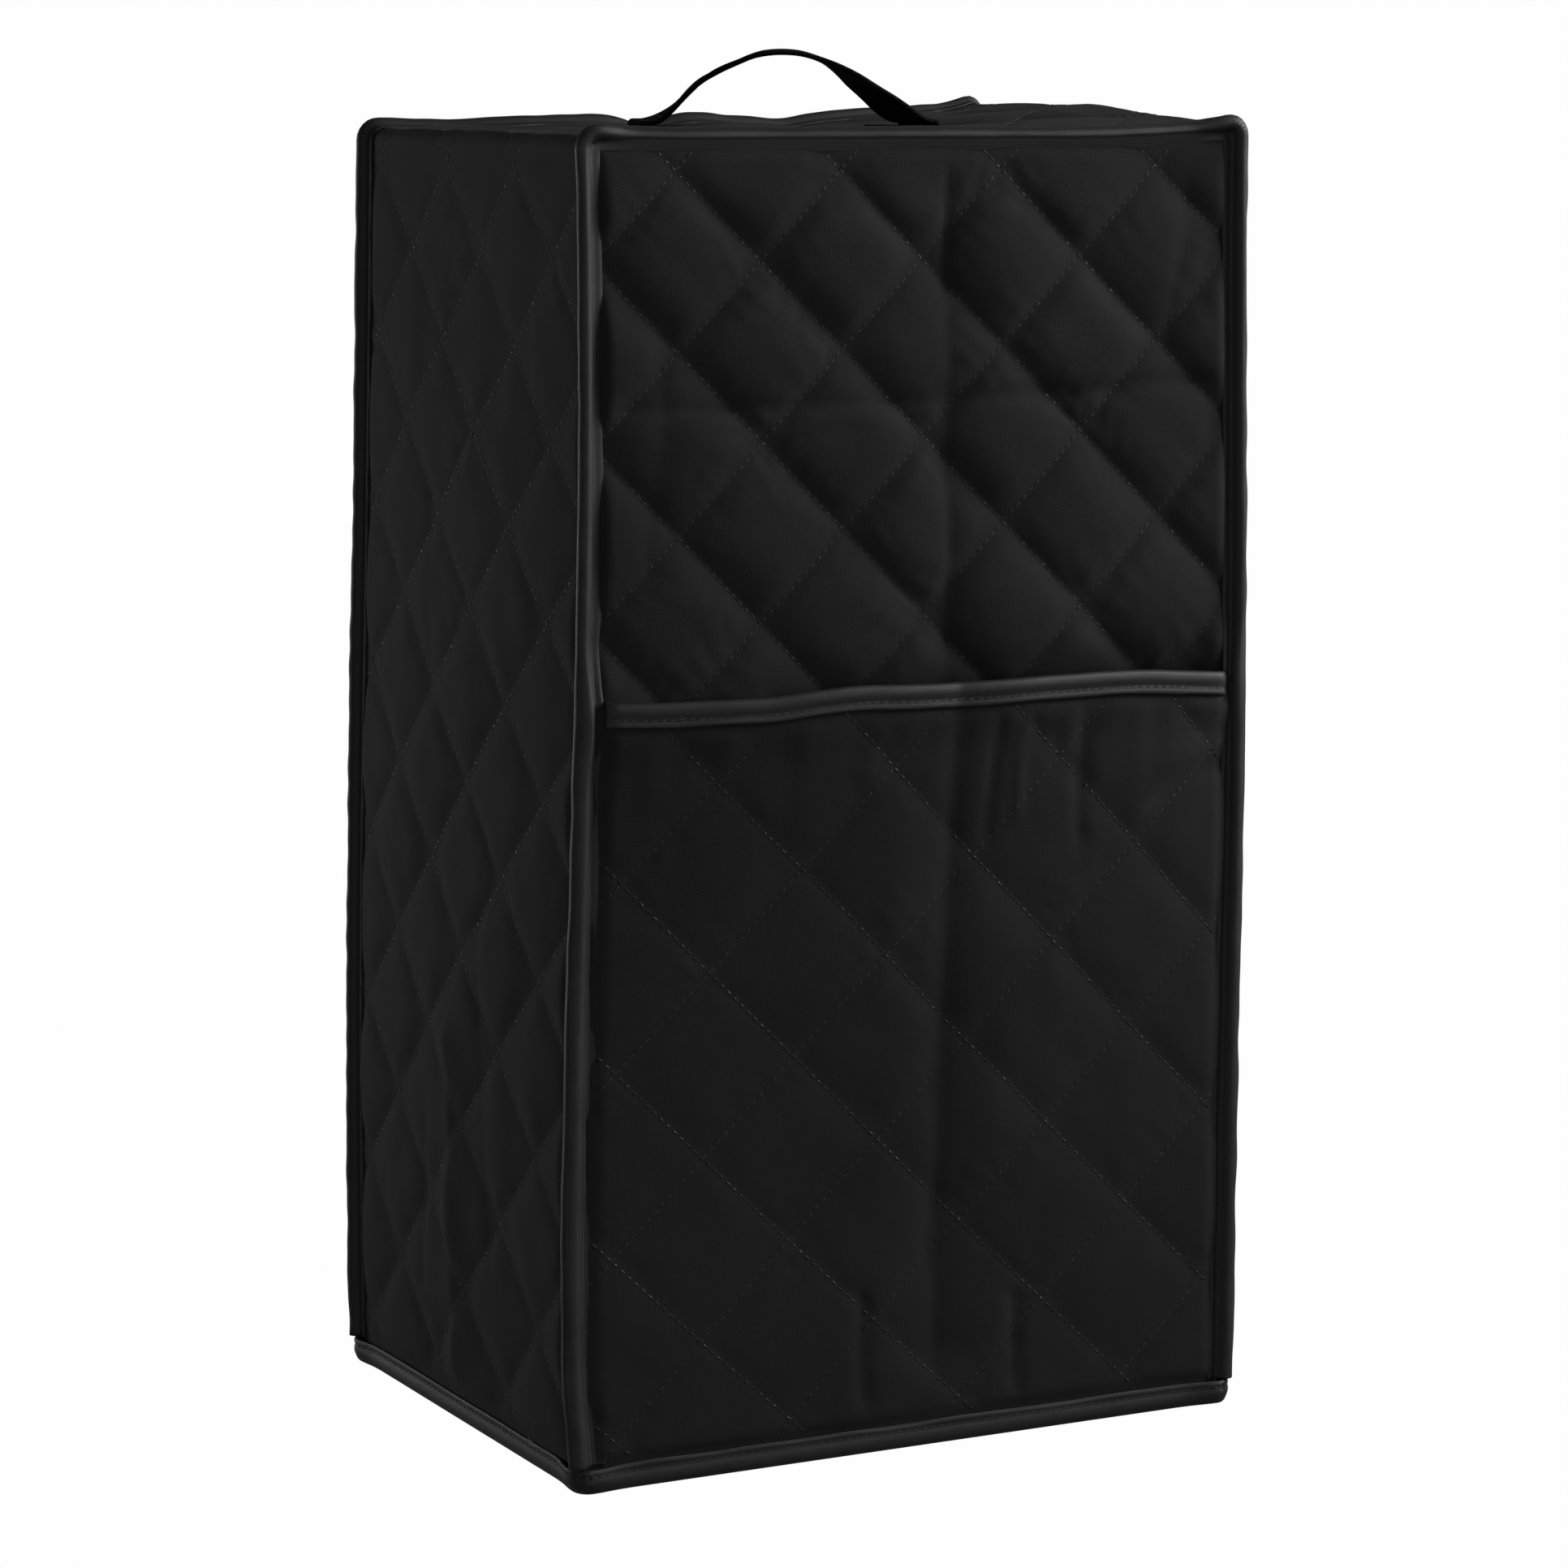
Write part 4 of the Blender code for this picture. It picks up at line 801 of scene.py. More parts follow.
def makeHemTape():
    rows = hemStations()
    x, y, ox, oy, near, layered = rows.T
    travel = np.concatenate([[0], np.cumsum(np.hypot(np.diff(x), np.diff(y)))])
    outward = np.stack([ox, oy, 0 * ox], 1)
    root = np.stack([x, y, 0 * x], 1)
    bulge = hem["cornerBulge"] * np.exp(-((near / hem["bulgeReach"]) ** 2))
    slotOut = quilting["plyRise"] + slotHalf + layered * (quilting["ply"] + quilting["gap"])
    slotIn = quilting["plyRise"] - slotHalf
    swell = tape["bobble"] * np.cos(travel * 2 * math.pi / tape["stitchPitch"])
    waver = tape["waver"] * ripple(x, y, 40 * mm, 61, 7)
    parts, worn, around = [], [], []
    place = 0.0
    for out, high, rub in hemOutside:
        groove = math.exp(-((high - hemGroove[1]) ** 2))
        lip = smooth((high - 6.5) / 1.5)
        away = slotOut + out * mm + bulge * (0.55 + 0.45 * smooth(high / 6)) + swell * groove + waver * lip
        up = (high * mm + waver * 1.5 * lip)[:, None]
        parts.append(root + outward * away[:, None] + np.array([0, 0, 1.0]) * up)
        worn.append(rub)
    for out, high, rub in hemOutside[::-1][1:]:
        groove = math.exp(-((high - hemGroove[1]) ** 2))
        away = slotIn - out * mm - swell * groove
        parts.append(root + outward * away[:, None] + np.array([0, 0, high * mm]))
        worn.append(rub)
    for high in (8.3, 5.0, 1.6):
        parts.append(root + outward * (slotIn - 0.05 * mm) + np.array([0, 0, high * mm]))
        worn.append(0.0)
    for high in (1.6, 5.0, 8.3):
        parts.append(root + outward * (slotOut + bulge * 0.5)[:, None] + np.array([0, 0, high * mm]))
        worn.append(0.0)
    for step in range(len(parts)):
        around.append(place)
        place += float(np.linalg.norm(parts[(step + 1) % len(parts)][9] - parts[step][9]))
    sections = np.stack([settle(part) for part in parts], 1)
    return sweepMesh("hemTape", sections, True, np.array(around), travel, np.array(worn))


hemTape = makeHemTape()

# Tape over the pocket's mouth: (away from the middle of the cloth, height under the top, worn).
mouthOutside = (
    (1.05, -8.0, 0.2),
    (1.75, -8.2, 0.8),
    (2.15, -7.6, 1.0),
    (2.10, -6.7, 0.6),
    (1.62, -5.6, 0.0),
    (1.85, -4.6, 0.3),
    (2.20, -3.2, 0.6),
    (2.15, -1.7, 0.8),
    (1.70, -0.5, 1.0),
    (0.75, 0.0, 1.0),
)
mouthGroove = mouthOutside[4]


def makePocketTape():
    end = seamX - pocketPlain - 2 * quilting["gap"]
    u = np.linspace(-end, end, int(2 * end / (1.2 * mm)))
    swell = tape["bobble"] * np.cos(u * 2 * math.pi / tape["stitchPitch"])
    waver = tape["waver"] * ripple(u, u * 0, 30 * mm, 71, 6)
    sides = {}
    for sign in (-1, 1):
        side = []
        for away, under, _ in mouthOutside:
            groove = math.exp(-((under - mouthGroove[1]) ** 2))
            lip = smooth((-6.4 - under) / 1.4)
            middle, _, _ = pocketLayout(u, np.full(len(u), pocket["top"] + under * mm))
            middle[:, 1] += sign * (away * mm + swell * groove + waver * 0.6)
            middle[:, 2] += waver * (0.4 + 1.2 * lip)
            side.append(settle(middle))
        sides[sign] = side
    inner = []
    for sign, under in ((1, -7.6), (1, -1.6), (-1, -1.6), (-1, -7.6)):
        middle, _, _ = pocketLayout(u, np.full(len(u), pocket["top"] + under * mm))
        middle[:, 1] += sign * 1.0 * mm
        inner.append(settle(middle))
    order = sides[-1] + sides[1][::-1] + inner
    worn = np.array([rub for _, _, rub in mouthOutside] + [rub for _, _, rub in mouthOutside[::-1]] + [0.0] * 4)
    middle = len(u) // 2
    around, place = [], 0.0
    for step in range(len(order)):
        around.append(place)
        place += float(np.linalg.norm(order[(step + 1) % len(order)][middle] - order[step][middle]))
    return sweepMesh("pocketTape", np.stack(order, 1), False, np.array(around), u + end, worn)


pocketTape = makePocketTape()
print("tapes folded round the seams, the hem and the pocket's mouth")

# The strap on top, one length of webbing.
strap = {
    "width": 25 * mm,
    "thick": 1.5 * mm,
    "edge": 0.6 * mm,
    "base": 447.596 * mm,  # underside of the sewn feet
    "perRow": 7,  # stations to each row of its line
}
# From the end of the left foot, folded under, over the arch to the end of the right foot:
# (x, y, rise over the feet, turn of the width about the upright axis).
strapLine = np.array((
    (-38.0, 9.8, 0.0, 15),
    (-45.0, 11.7, 0.0, 15),
    (-50.0, 13.0, 0.0, 15),
    (-52.9, 13.8, 0.0, 15),
    (-53.6, 14.0, 0.3, 15),
    (-53.9, 14.1, 1.05, 15),
    (-53.6, 14.0, 1.8, 15),
    (-52.9, 13.8, 2.1, 15),
    (-50.0, 13.1, 2.2, 16),
    (-46.6, 12.1, 3.3, 18),
    (-43.5, 11.0, 5.3, 22),
    (-40.5, 9.7, 8.1, 25),
    (-36.7, 7.8, 12.7, 26),
    (-33.0, 5.9, 16.4, 28),
    (-29.3, 3.8, 19.0, 31),
    (-25.8, 1.5, 21.0, 32),
    (-22.2, -0.7, 22.7, 31),
    (-18.6, -2.8, 24.2, 29),
    (-14.9, -4.7, 25.2, 27),
    (-11.1, -6.6, 25.6, 27),
    (-7.4, -8.5, 25.6, 27),
    (-3.7, -10.4, 25.2, 27),
    (0.0, -12.3, 24.2, 26),
    (4.3, -14.3, 22.5, 23),
    (8.5, -15.8, 20.2, 17),
    (12.7, -16.8, 17.6, 11),
    (16.2, -17.4, 15.1, 6.5),
    (20.0, -17.7, 12.4, 3),
    (23.9, -17.8, 9.6, -1),
    (28.0, -17.6, 6.7, -4.5),
    (32.0, -17.2, 4.1, -5),
    (35.5, -16.9, 2.5, -5),
    (38.6, -16.6, 2.1, -5),
    (39.3, -16.5, 1.8, -5),
    (39.6, -16.5, 1.05, -5),
    (39.3, -16.5, 0.3, -5),
    (38.6, -16.6, 0.0, -5),
    (36.0, -16.8, 0.0, -5),
    (30.0, -17.3, 0.0, -5),
    (25.0, -17.7, 0.0, -5),
))


def strapPlaces(at):  # middle of the webbing and its width's direction, by row of the line
    rows = np.arange(len(strapLine))
    x, y, rise, turn = (readCurve(rows, strapLine[:, column], at) for column in range(4))
    middle = np.stack([x, y, strap["base"] / mm + strap["thick"] / mm / 2 + rise], 1) * mm
    width = np.stack([np.sin(np.radians(turn)), np.cos(np.radians(turn)), 0 * turn], 1)
    return middle, width


def strapFrames(at):
    middle, width = strapPlaces(at)
    along = unit(strapPlaces(at + 0.05)[0] - strapPlaces(at - 0.05)[0])
    return middle, width, unit(np.cross(along, width))


def makeStrap():
    at = np.linspace(0, len(strapLine) - 1, (len(strapLine) - 1) * strap["perRow"] + 1)
    middle, width, normal = strapFrames(at)
    half, thick, edge = strap["width"] / 2, strap["thick"] / 2, strap["edge"]
    flat = np.linspace(-half + edge, half - edge, 15)
    across = np.concatenate([[-half, -half + 0.3 * edge], flat, [half - 0.3 * edge, half]])
    full = np.concatenate([[0.2, 0.75], np.ones(15), [0.75, 0.2]])
    profile = [(a, -thick * d) for a, d in zip(across, full)] + [(a, thick * d) for a, d in zip(across, full)][::-1]
    travel = np.concatenate([[0], np.cumsum(np.linalg.norm(np.diff(middle, axis=0), axis=1))])
    ends = np.minimum(travel, travel[-1] - travel)
    free = smooth((ends - 30 * mm) / (15 * mm))  # the free part curls a little across its width
    wavy = 0.25 * mm * ripple(travel, 0 * travel, 24 * mm, 81, 5) * free
    sections = []
    for a, b in profile:
        curl = (0.5 * mm * free + wavy) * ((a / half) ** 2 - 0.5)
        sections.append(settle(middle + width * a + normal * (b - curl)[:, None]))
    around, place = [], 0.0
    for step, (a, b) in enumerate(profile):
        around.append(place)
        following = profile[(step + 1) % len(profile)]
        place += math.hypot(following[0] - a, following[1] - b)
    worn = np.array([smooth((abs(a) - half + 2.5 * mm) / (2.5 * mm)) for a, _ in profile])
    return sweepMesh("carryStrap", np.stack(sections, 1), False, np.array(around), travel, worn)


carryStrap = makeStrap()
print("strap bent into its handle")

# Stitches: one shape, copied along every line and row.
thread = {
    "quiltPitch": 3.4 * mm,
    "quiltLength": 2.7 * mm,
    "quiltThick": 0.42 * mm,
    "seamLength": 2.5 * mm,
    "seamThick": 0.48 * mm,
    "sunk": 0.05 * mm,
}


def stitchShape():  # one stitch, modelled once: a short thread with rounded ends
    bpy.ops.object.select_all(action="DESELECT")
    bpy.ops.mesh.primitive_uv_sphere_add(segments=6, ring_count=3, radius=0.5)
    ball = bpy.context.object
    bpy.ops.object.mode_set(mode="EDIT")
    bpy.ops.transform.rotate(value=math.pi / 2, orient_axis="Y", center_override=(0, 0, 0))
    bpy.ops.object.mode_set(mode="OBJECT")
    points = np.zeros(len(ball.data.vertices) * 3)
    ball.data.vertices.foreach_get("co", points)
    faces = [tuple(face.vertices) for face in ball.data.polygons]
    bpy.data.objects.remove(ball, do_unlink=True)
    return points.reshape(-1, 3), faces


stitchPoints, stitchFaces = stitchShape()


def sewStitches(name, centres, along, normal, length, thick):
    along = unit(along)
    normal = unit(normal - along * np.sum(normal * along, 1)[:, None])
    across = np.cross(normal, along)
    draw = np.random.default_rng(len(centres))
    turn = draw.normal(0, 0.06, len(centres))
    along, across = along + across * turn[:, None], across - along * turn[:, None]
    size = np.array([length, thick, thick])
    local = stitchPoints * size
    arc = local[:, 2] - (local[:, 0] / length) ** 2 * thick * 0.9  # its ends dive into the cloth
    points = (
        centres[:, None, :]
        + local[None, :, 0, None] * along[:, None, :]
        + local[None, :, 1, None] * across[:, None, :]
        + arc[None, :, None] * normal[:, None, :]
    )
    count = len(stitchPoints)
    starts = range(0, len(centres) * count, count)
    faces = [tuple(corner + start for corner in face) for start in starts for face in stitchFaces]
    mesh = bpy.data.meshes.new(name)
    mesh.from_pydata(points.reshape(-1, 3).tolist(), [], faces)
    mesh.polygons.foreach_set("use_smooth", [True] * len(mesh.polygons))
    piece = bpy.data.objects.new(name, mesh)
    bpy.context.scene.collection.objects.link(piece)
    return piece


def quiltLines(lowU, highU, lowV, highV, crossing, diamond):
    # (u, v, du, dv) of every stitch along both families of quilting lines
    found = []
    pitch = thread["quiltPitch"] / math.sqrt(2)
    for slope in (-1, 1):
        start = (crossing[1] - slope * crossing[0]) / diamond
        levels = [lowV - slope * highU, lowV - slope * lowU, highV - slope * lowU, highV - slope * highU]
        for step in range(math.ceil(min(levels) / diamond - start), math.floor(max(levels) / diamond - start) + 1):
            level = (start + step) * diamond
            u = np.arange(lowU + (step % 7) * 0.13 * pitch, highU, pitch)
            v = level + slope * u
            inside = (v > lowV) & (v < highV)
            found.append(np.stack([u[inside], v[inside], np.ones(inside.sum()), np.full(inside.sum(), slope)], 1))
    return np.concatenate(found)


def quiltThread(name, skins, bounds, crossing, diamond):
    rows = quiltLines(*bounds, crossing, diamond)
    u, v, du, dv = rows.T
    step = 0.6 * mm
    here = skins(u, v)[0]
    along = skins(u + du * step, v + dv * step)[0] - skins(u - du * step, v - dv * step)[0]
    upward = skins(u, v + 4 * mm)[0] - skins(u, v - 4 * mm)[0]
    sideways = skins(u + 4 * mm, v)[0] - skins(u - 4 * mm, v)[0]
    normal = unit(np.cross(upward, sideways))
    normal *= np.sign(np.sum(normal * (here - skins(u, v)[1]), 1))[:, None]
    centres = here + normal * thread["sunk"]
    return sewStitches(name, centres, along, normal, thread["quiltLength"], thread["quiltThick"])


low, high = quilting["hemTop"] + 2 * mm, seamTop - 2 * mm
mouthFoot = pocket["top"] - pocket["tapeHeight"]
wideRun, deepRun = seamX - 3 * mm, seamY - 3 * mm
panelQuilting = (quilting["panelCrossing"], quilting["bodyDiamond"])
gussetQuilting = (quilting["gussetCrossing"], quilting["bodyDiamond"])
pocketQuilting = (quilting["pocketCrossing"], quilting["pocketDiamond"])
frontThread = quiltThread("frontThread", panelSkins("front"), (-wideRun, wideRun, 258 * mm, high), *panelQuilting)
backThread = quiltThread("backThread", panelSkins("back"), (-wideRun, wideRun, low, high), *panelQuilting)
gussetThread = quiltThread("gussetThread", gussetSkins, (-deepRun, deepRun, low, pathRun - low), *gussetQuilting)
wideRun = seamX - 4 * mm
pocketThread = quiltThread("pocketThread", pocketSkins, (-wideRun, wideRun, low, mouthFoot), *pocketQuilting)
print("quilting stitched")


def seamStitches(toward, hasPocket, wander):
    # a row along the groove of each leg of a bound seam
    travels = np.arange(quilting["hemTop"] + 2 * mm, pathRun - quilting["hemTop"] - 2 * mm, tape["stitchPitch"])
    _, z, _ = seamPath(travels)
    extra = pocketLayer(z) if hasPocket else np.zeros(len(travels))
    spread = pocketSpread(travels, z) if hasPocket else np.zeros(len(travels))
    groove = [index for index, row in enumerate(legOutside) if row[0] == 1.60][0]
    outer = 2 * len(legOutside) - 1
    centres, alongs, normals = [], [], []
    for ring in (groove, outer - groove):
        before = seamTapeSections(travels - 0.5 * mm, toward, extra, spread, wander)
        after = seamTapeSections(travels + 0.5 * mm, toward, extra, spread, wander)
        here = seamTapeSections(travels, toward, extra, spread, wander)
        along = after[:, ring] - before[:, ring]
        across = here[:, ring + 1] - here[:, ring - 1]
        normal = unit(np.cross(along, across))
        inside = here[:, ring] - here.mean(1)
        normal *= np.sign(np.sum(normal * inside, 1))[:, None]
        centres.append(here[:, ring] - normal * thread["sunk"])
        alongs.append(along)
        normals.append(normal)
    return np.concatenate(centres), np.concatenate(alongs), np.concatenate(normals)


def hemStitches():
    rows = hemStations()
    x, y, ox, oy, near, layered = rows.T
    travel = np.concatenate([[0], np.cumsum(np.hypot(np.diff(x), np.diff(y)))])
    at = np.arange(0, travel[-1] - 2 * mm, tape["stitchPitch"])
    bulge = hem["cornerBulge"] * np.exp(-((near / hem["bulgeReach"]) ** 2))
    away = quilting["plyRise"] + slotHalf + layered * (quilting["ply"] + quilting["gap"]) + bulge + hemGroove[0] * mm
    line = np.stack([x + ox * away, y + oy * away, np.full(len(x), hemGroove[1] * mm)], 1)
    settled = settle(line)
    outward = np.stack([ox, oy, 0 * ox], 1)
    centres = np.stack([np.interp(at, travel, settled[:, axis]) for axis in range(3)], 1)
    ahead = np.stack([np.interp(at + 0.8 * mm, travel, settled[:, axis]) for axis in range(3)], 1)
    normals = np.stack([np.interp(at, travel, outward[:, axis]) for axis in range(3)], 1)
    return centres, ahead - centres, normals


def mouthStitches():
    end = seamX - pocketPlain - 3 * mm
    u = np.arange(-end, end, tape["stitchPitch"])
    parts = []
    for shift in (0, 0.6 * mm):
        middle, _, _ = pocketLayout(u + shift, np.full(len(u), pocket["top"] + mouthGroove[1] * mm))
        middle[:, 1] -= mouthGroove[0] * mm + thread["sunk"]
        parts.append(settle(middle))
    return parts[0], parts[1] - parts[0], np.tile(np.array([0.0, -1.0, 0.0]), (len(u), 1))


def strapStitches():
    # a box with a cross through both layers of each foot, just inside the fold
    halfWide = strap["width"] / 2 - 3 * mm
    found = []
    for start, end in ((7.3, 9.2), (30.7, 32.3)):
        corners = ((start, -1), (end, -1), (end, 1), (start, 1))
        lines = [(corners[step], corners[(step + 1) % 4]) for step in range(4)]
        lines += [(corners[0], corners[2]), (corners[1], corners[3])]
        for (at0, side0), (at1, side1) in lines:
            count = 3 if side0 == side1 else 6
            share = (np.arange(count) + 0.5) / count
            runAt, runSide = (at1 - at0) / count, (side1 - side0) / count
            for part in share * count:
                found.append((at0 + runAt * part, side0 + runSide * part, runAt, runSide))
    at, side, runAt, runSide = np.array(found).T

    def spot(at, side):
        middle, width, normal = strapFrames(at)
        return settle(middle + width * (side * halfWide)[:, None] + normal * (strap["thick"] / 2)), normal

    here, normal = spot(at, side)
    ahead, _ = spot(at + runAt * 0.2, side + runSide * 0.2)
    return here, ahead - here, normal


seamThread = (thread["seamLength"], thread["seamThick"])
frontSeamThread = sewStitches("frontSeamThread", *seamStitches(-1.0, True, 41), *seamThread)
backSeamThread = sewStitches("backSeamThread", *seamStitches(1.0, False, 51), *seamThread)
hemThread = sewStitches("hemThread", *hemStitches(), *seamThread)
mouthThread = sewStitches("mouthThread", *mouthStitches(), *seamThread)
strapThread = sewStitches("strapThread", *strapStitches(), *seamThread)
print("tapes and strap stitched")

# Finishes.
finish = {
    "cloth": {"colour": (0.0095, 0.0095, 0.0098), "rough": 0.85, "specular": 0.16, "sheen": 0.02, "pitch": 0.62 * mm},
    "tape": {"colour": (0.0080, 0.0080, 0.0083), "rough": 0.50, "specular": 0.26, "sheen": 0.01, "pitch": 0.5 * mm},
    "webbing": {"colour": (0.0012, 0.0012, 0.0012), "rough": 0.75, "specular": 0.06, "sheen": 0.0, "pitch": 1.3 * mm},
    "thread": {"colour": (0.014, 0.014, 0.0145), "rough": 0.45, "specular": 0.4, "sheen": 0.0},
}


def addNode(tree, kind, inputs=None, **settings):
    node = tree.nodes.new(kind)
    for key, value in settings.items():
        setattr(node, key, value)
    for key, value in (inputs or {}).items():
        if isinstance(value, bpy.types.NodeSocket):
            tree.links.new(value, node.inputs[key])
        else:
            node.inputs[key].default_value = value
    return node


def newGroup(name, inputs, outputs):
    group = bpy.data.node_groups.new(name, "ShaderNodeTree")
    for socketName, kind, value in inputs:
        socket = group.interface.new_socket(name=socketName, in_out="INPUT", socket_type=kind)
        if value is not None:
            socket.default_value = value
    for socketName, kind in outputs:
        group.interface.new_socket(name=socketName, in_out="OUTPUT", socket_type=kind)
    return group, group.nodes.new("NodeGroupInput"), group.nodes.new("NodeGroupOutput")


def mathNode(tree, operation, first, second=None, third=None):
    inputs = {0: first}
    if second is not None:
        inputs[1] = second
    if third is not None:
        inputs[2] = third
    return addNode(tree, "ShaderNodeMath", inputs, operation=operation).outputs[0]


def makePlainWeave():
    # over and under threads; the height is 0 between threads and 1 on their backs, and the Shade output is painted
    # shade that darkens the colour between threads
    group, given, result = newGroup(
        "plainWeave",
        [
            ("Coordinates", "NodeSocketVector", None),
            ("Pitch", "NodeSocketFloat", 0.001),
            ("Slub", "NodeSocketFloat", 0.3),
        ],
        [("Height", "NodeSocketFloat"), ("Shade", "NodeSocketFloat")],
    )
    scale = mathNode(group, "DIVIDE", math.pi, given.outputs["Pitch"])
    scaled = addNode(group, "ShaderNodeVectorMath", {0: given.outputs["Coordinates"]}, operation="SCALE")
    group.links.new(scale, scaled.inputs["Scale"])
    parts = addNode(group, "ShaderNodeSeparateXYZ", {0: scaled.outputs[0]})
    sineX = mathNode(group, "SINE", parts.outputs[0])
    sineY = mathNode(group, "SINE", parts.outputs[1])
    over = mathNode(group, "GREATER_THAN", mathNode(group, "MULTIPLY", sineX, sineY), 0.0)
    tallX, tallY = mathNode(group, "ABSOLUTE", sineX), mathNode(group, "ABSOLUTE", sineY)
    woven = addNode(group, "ShaderNodeMix", {0: over, 2: tallX, 3: tallY}, data_type="FLOAT")
    slub = addNode(group, "ShaderNodeTexNoise", {
        "Vector": given.outputs["Coordinates"], "Scale": 700.0, "Detail": 3.0,
    })
    uneven = mathNode(group, "MULTIPLY", slub.outputs[0], given.outputs["Slub"])
    height = mathNode(group, "ADD", woven.outputs[0], uneven)
    # painted shade: darker where the weave is low, between the threads
    shade = mathNode(group, "MULTIPLY_ADD", woven.outputs[0], 0.35, 0.8)
    group.links.new(height, result.inputs["Height"])
    group.links.new(shade, result.inputs["Shade"])
    return group


def makeMottle():
    # slow changes of shade, about 0.8 to 1.2
    group, given, result = newGroup(
        "slowMottle",
        [
            ("Coordinates", "NodeSocketVector", None),
            ("Scale", "NodeSocketFloat", 25.0),
            ("Amount", "NodeSocketFloat", 0.4),
        ],
        [("Shade", "NodeSocketFloat")],
    )
    noise = addNode(group, "ShaderNodeTexNoise", {
        "Vector": given.outputs["Coordinates"], "Scale": given.outputs["Scale"], "Detail": 5.0,
        "Roughness": 0.6,
    })
    centred = mathNode(group, "SUBTRACT", noise.outputs[0], 0.5)
    shade = mathNode(group, "MULTIPLY_ADD", centred, given.outputs["Amount"], 1.0)
    group.links.new(shade, result.inputs["Shade"])
    return group


def makeLint():
    # sparse pale specks and fibres
    group, given, result = newGroup(
        "lintAndDust",
        [("Coordinates", "NodeSocketVector", None), ("Density", "NodeSocketFloat", 0.5)],
        [("Mask", "NodeSocketFloat")],
    )
    specks = addNode(group, "ShaderNodeTexVoronoi", {
        "Vector": given.outputs["Coordinates"], "Scale": 420.0, "Randomness": 1.0,
    })
    small = addNode(group, "ShaderNodeMapRange", {
        "Value": specks.outputs["Distance"], "From Min": 0.16, "From Max": 0.05,
    })
    patches = addNode(group, "ShaderNodeTexNoise", {
        "Vector": given.outputs["Coordinates"], "Scale": 60.0, "Detail": 4.0,
    })
    where = addNode(group, "ShaderNodeMapRange", {
        "Value": patches.outputs[0], "From Min": 0.52, "From Max": 0.75,
    })
    both = mathNode(group, "MULTIPLY", small.outputs[0], where.outputs[0])
    mask = mathNode(group, "MULTIPLY", both, given.outputs["Density"])
    group.links.new(mask, result.inputs["Mask"])
    return group


def makeRubbedEdges():
    # wear on the raised folds, broken up along their length
    group, given, result = newGroup(
        "rubbedEdges",
        [
            ("Raised", "NodeSocketFloat", 0.0),
            ("Coordinates", "NodeSocketVector", None),
            ("Amount", "NodeSocketFloat", 0.5),
        ],
        [("Mask", "NodeSocketFloat")],
    )
    noise = addNode(group, "ShaderNodeTexNoise", {
        "Vector": given.outputs["Coordinates"], "Scale": 90.0, "Detail": 6.0, "Roughness": 0.65,
    })
    broken = addNode(group, "ShaderNodeMapRange", {
        "Value": noise.outputs[0], "From Min": 0.35, "From Max": 0.7,
    })
    sharp = mathNode(group, "POWER", given.outputs["Raised"], 1.6)
    mask = mathNode(group, "MULTIPLY", mathNode(group, "MULTIPLY", sharp, broken.outputs[0]), given.outputs["Amount"])
    group.links.new(mask, result.inputs["Mask"])
    return group


plainWeave, slowMottle = makePlainWeave(), makeMottle()
lintAndDust, rubbedEdges = makeLint(), makeRubbedEdges()


def groupNode(tree, group, inputs):
    node = addNode(tree, "ShaderNodeGroup", node_tree=group)
    for key, value in inputs.items():
        if isinstance(value, bpy.types.NodeSocket):
            tree.links.new(value, node.inputs[key])
        else:
            node.inputs[key].default_value = value
    return node


def newMaterial(name, look):
    material = bpy.data.materials.new(name)
    material.use_nodes = True
    tree = material.node_tree
    shader = tree.nodes["Principled BSDF"]
    shader.inputs["Base Color"].default_value = (*look["colour"], 1)
    shader.inputs["Roughness"].default_value = look["rough"]
    shader.inputs["Specular IOR Level"].default_value = look["specular"]
    shader.inputs["Sheen Weight"].default_value = look["sheen"]
    shader.inputs["Sheen Roughness"].default_value = 0.45
    shader.inputs["Sheen Tint"].default_value = (0.9, 0.9, 0.92, 1)
    return material, tree, shader


def tinted(tree, colour, shades):
    # the base colour times each shade in turn
    current = None
    for shade in shades:
        current = shade if current is None else mathNode(tree, "MULTIPLY", current, shade)
    scaled = addNode(tree, "ShaderNodeVectorMath", {0: colour}, operation="SCALE")
    tree.links.new(current, scaled.inputs["Scale"])
    return scaled.outputs[0]


def makeClothMaterial():
    look = finish["cloth"]
    material, tree, shader = newMaterial("quiltedPolyester", look)
    cut = addNode(tree, "ShaderNodeUVMap", uv_map="cut").outputs[0]
    space = addNode(tree, "ShaderNodeTexCoord").outputs["Object"]
    weave = groupNode(tree, plainWeave, {"Coordinates": cut, "Pitch": look["pitch"], "Slub": 0.5})
    mottle = groupNode(tree, slowMottle, {"Coordinates": space, "Scale": 22.0, "Amount": 0.7})
    lint = groupNode(tree, lintAndDust, {"Coordinates": space, "Density": 0.25})
    puff = addNode(tree, "ShaderNodeAttribute", attribute_name="puff").outputs["Fac"]
    # the colour is a little paler along the stitched lines, where the puff is low
    paleAlongLines = addNode(tree, "ShaderNodeMapRange", {
        "Value": puff, "From Min": 0.0, "From Max": 0.35, "To Min": 1.25, "To Max": 1.0,
    })
    # the weave's Shade darkens the colour between threads as painted shade
    colour = tinted(tree, look["colour"], [weave.outputs["Shade"], mottle.outputs["Shade"], paleAlongLines.outputs[0]])
    dusty = addNode(tree, "ShaderNodeMix", {
        0: lint.outputs["Mask"], 6: colour, 7: (0.10, 0.10, 0.10, 1),
    }, data_type="RGBA")
    tree.links.new(dusty.outputs[2], shader.inputs["Base Color"])
    rough = mathNode(tree, "MULTIPLY_ADD", mottle.outputs["Shade"], 0.12, look["rough"] - 0.12)
    tree.links.new(rough, shader.inputs["Roughness"])
    bump = addNode(tree, "ShaderNodeBump", {
        "Height": weave.outputs["Height"], "Distance": 0.10 * mm, "Strength": 0.6,
    })
    tree.links.new(bump.outputs[0], shader.inputs["Normal"])
    return material


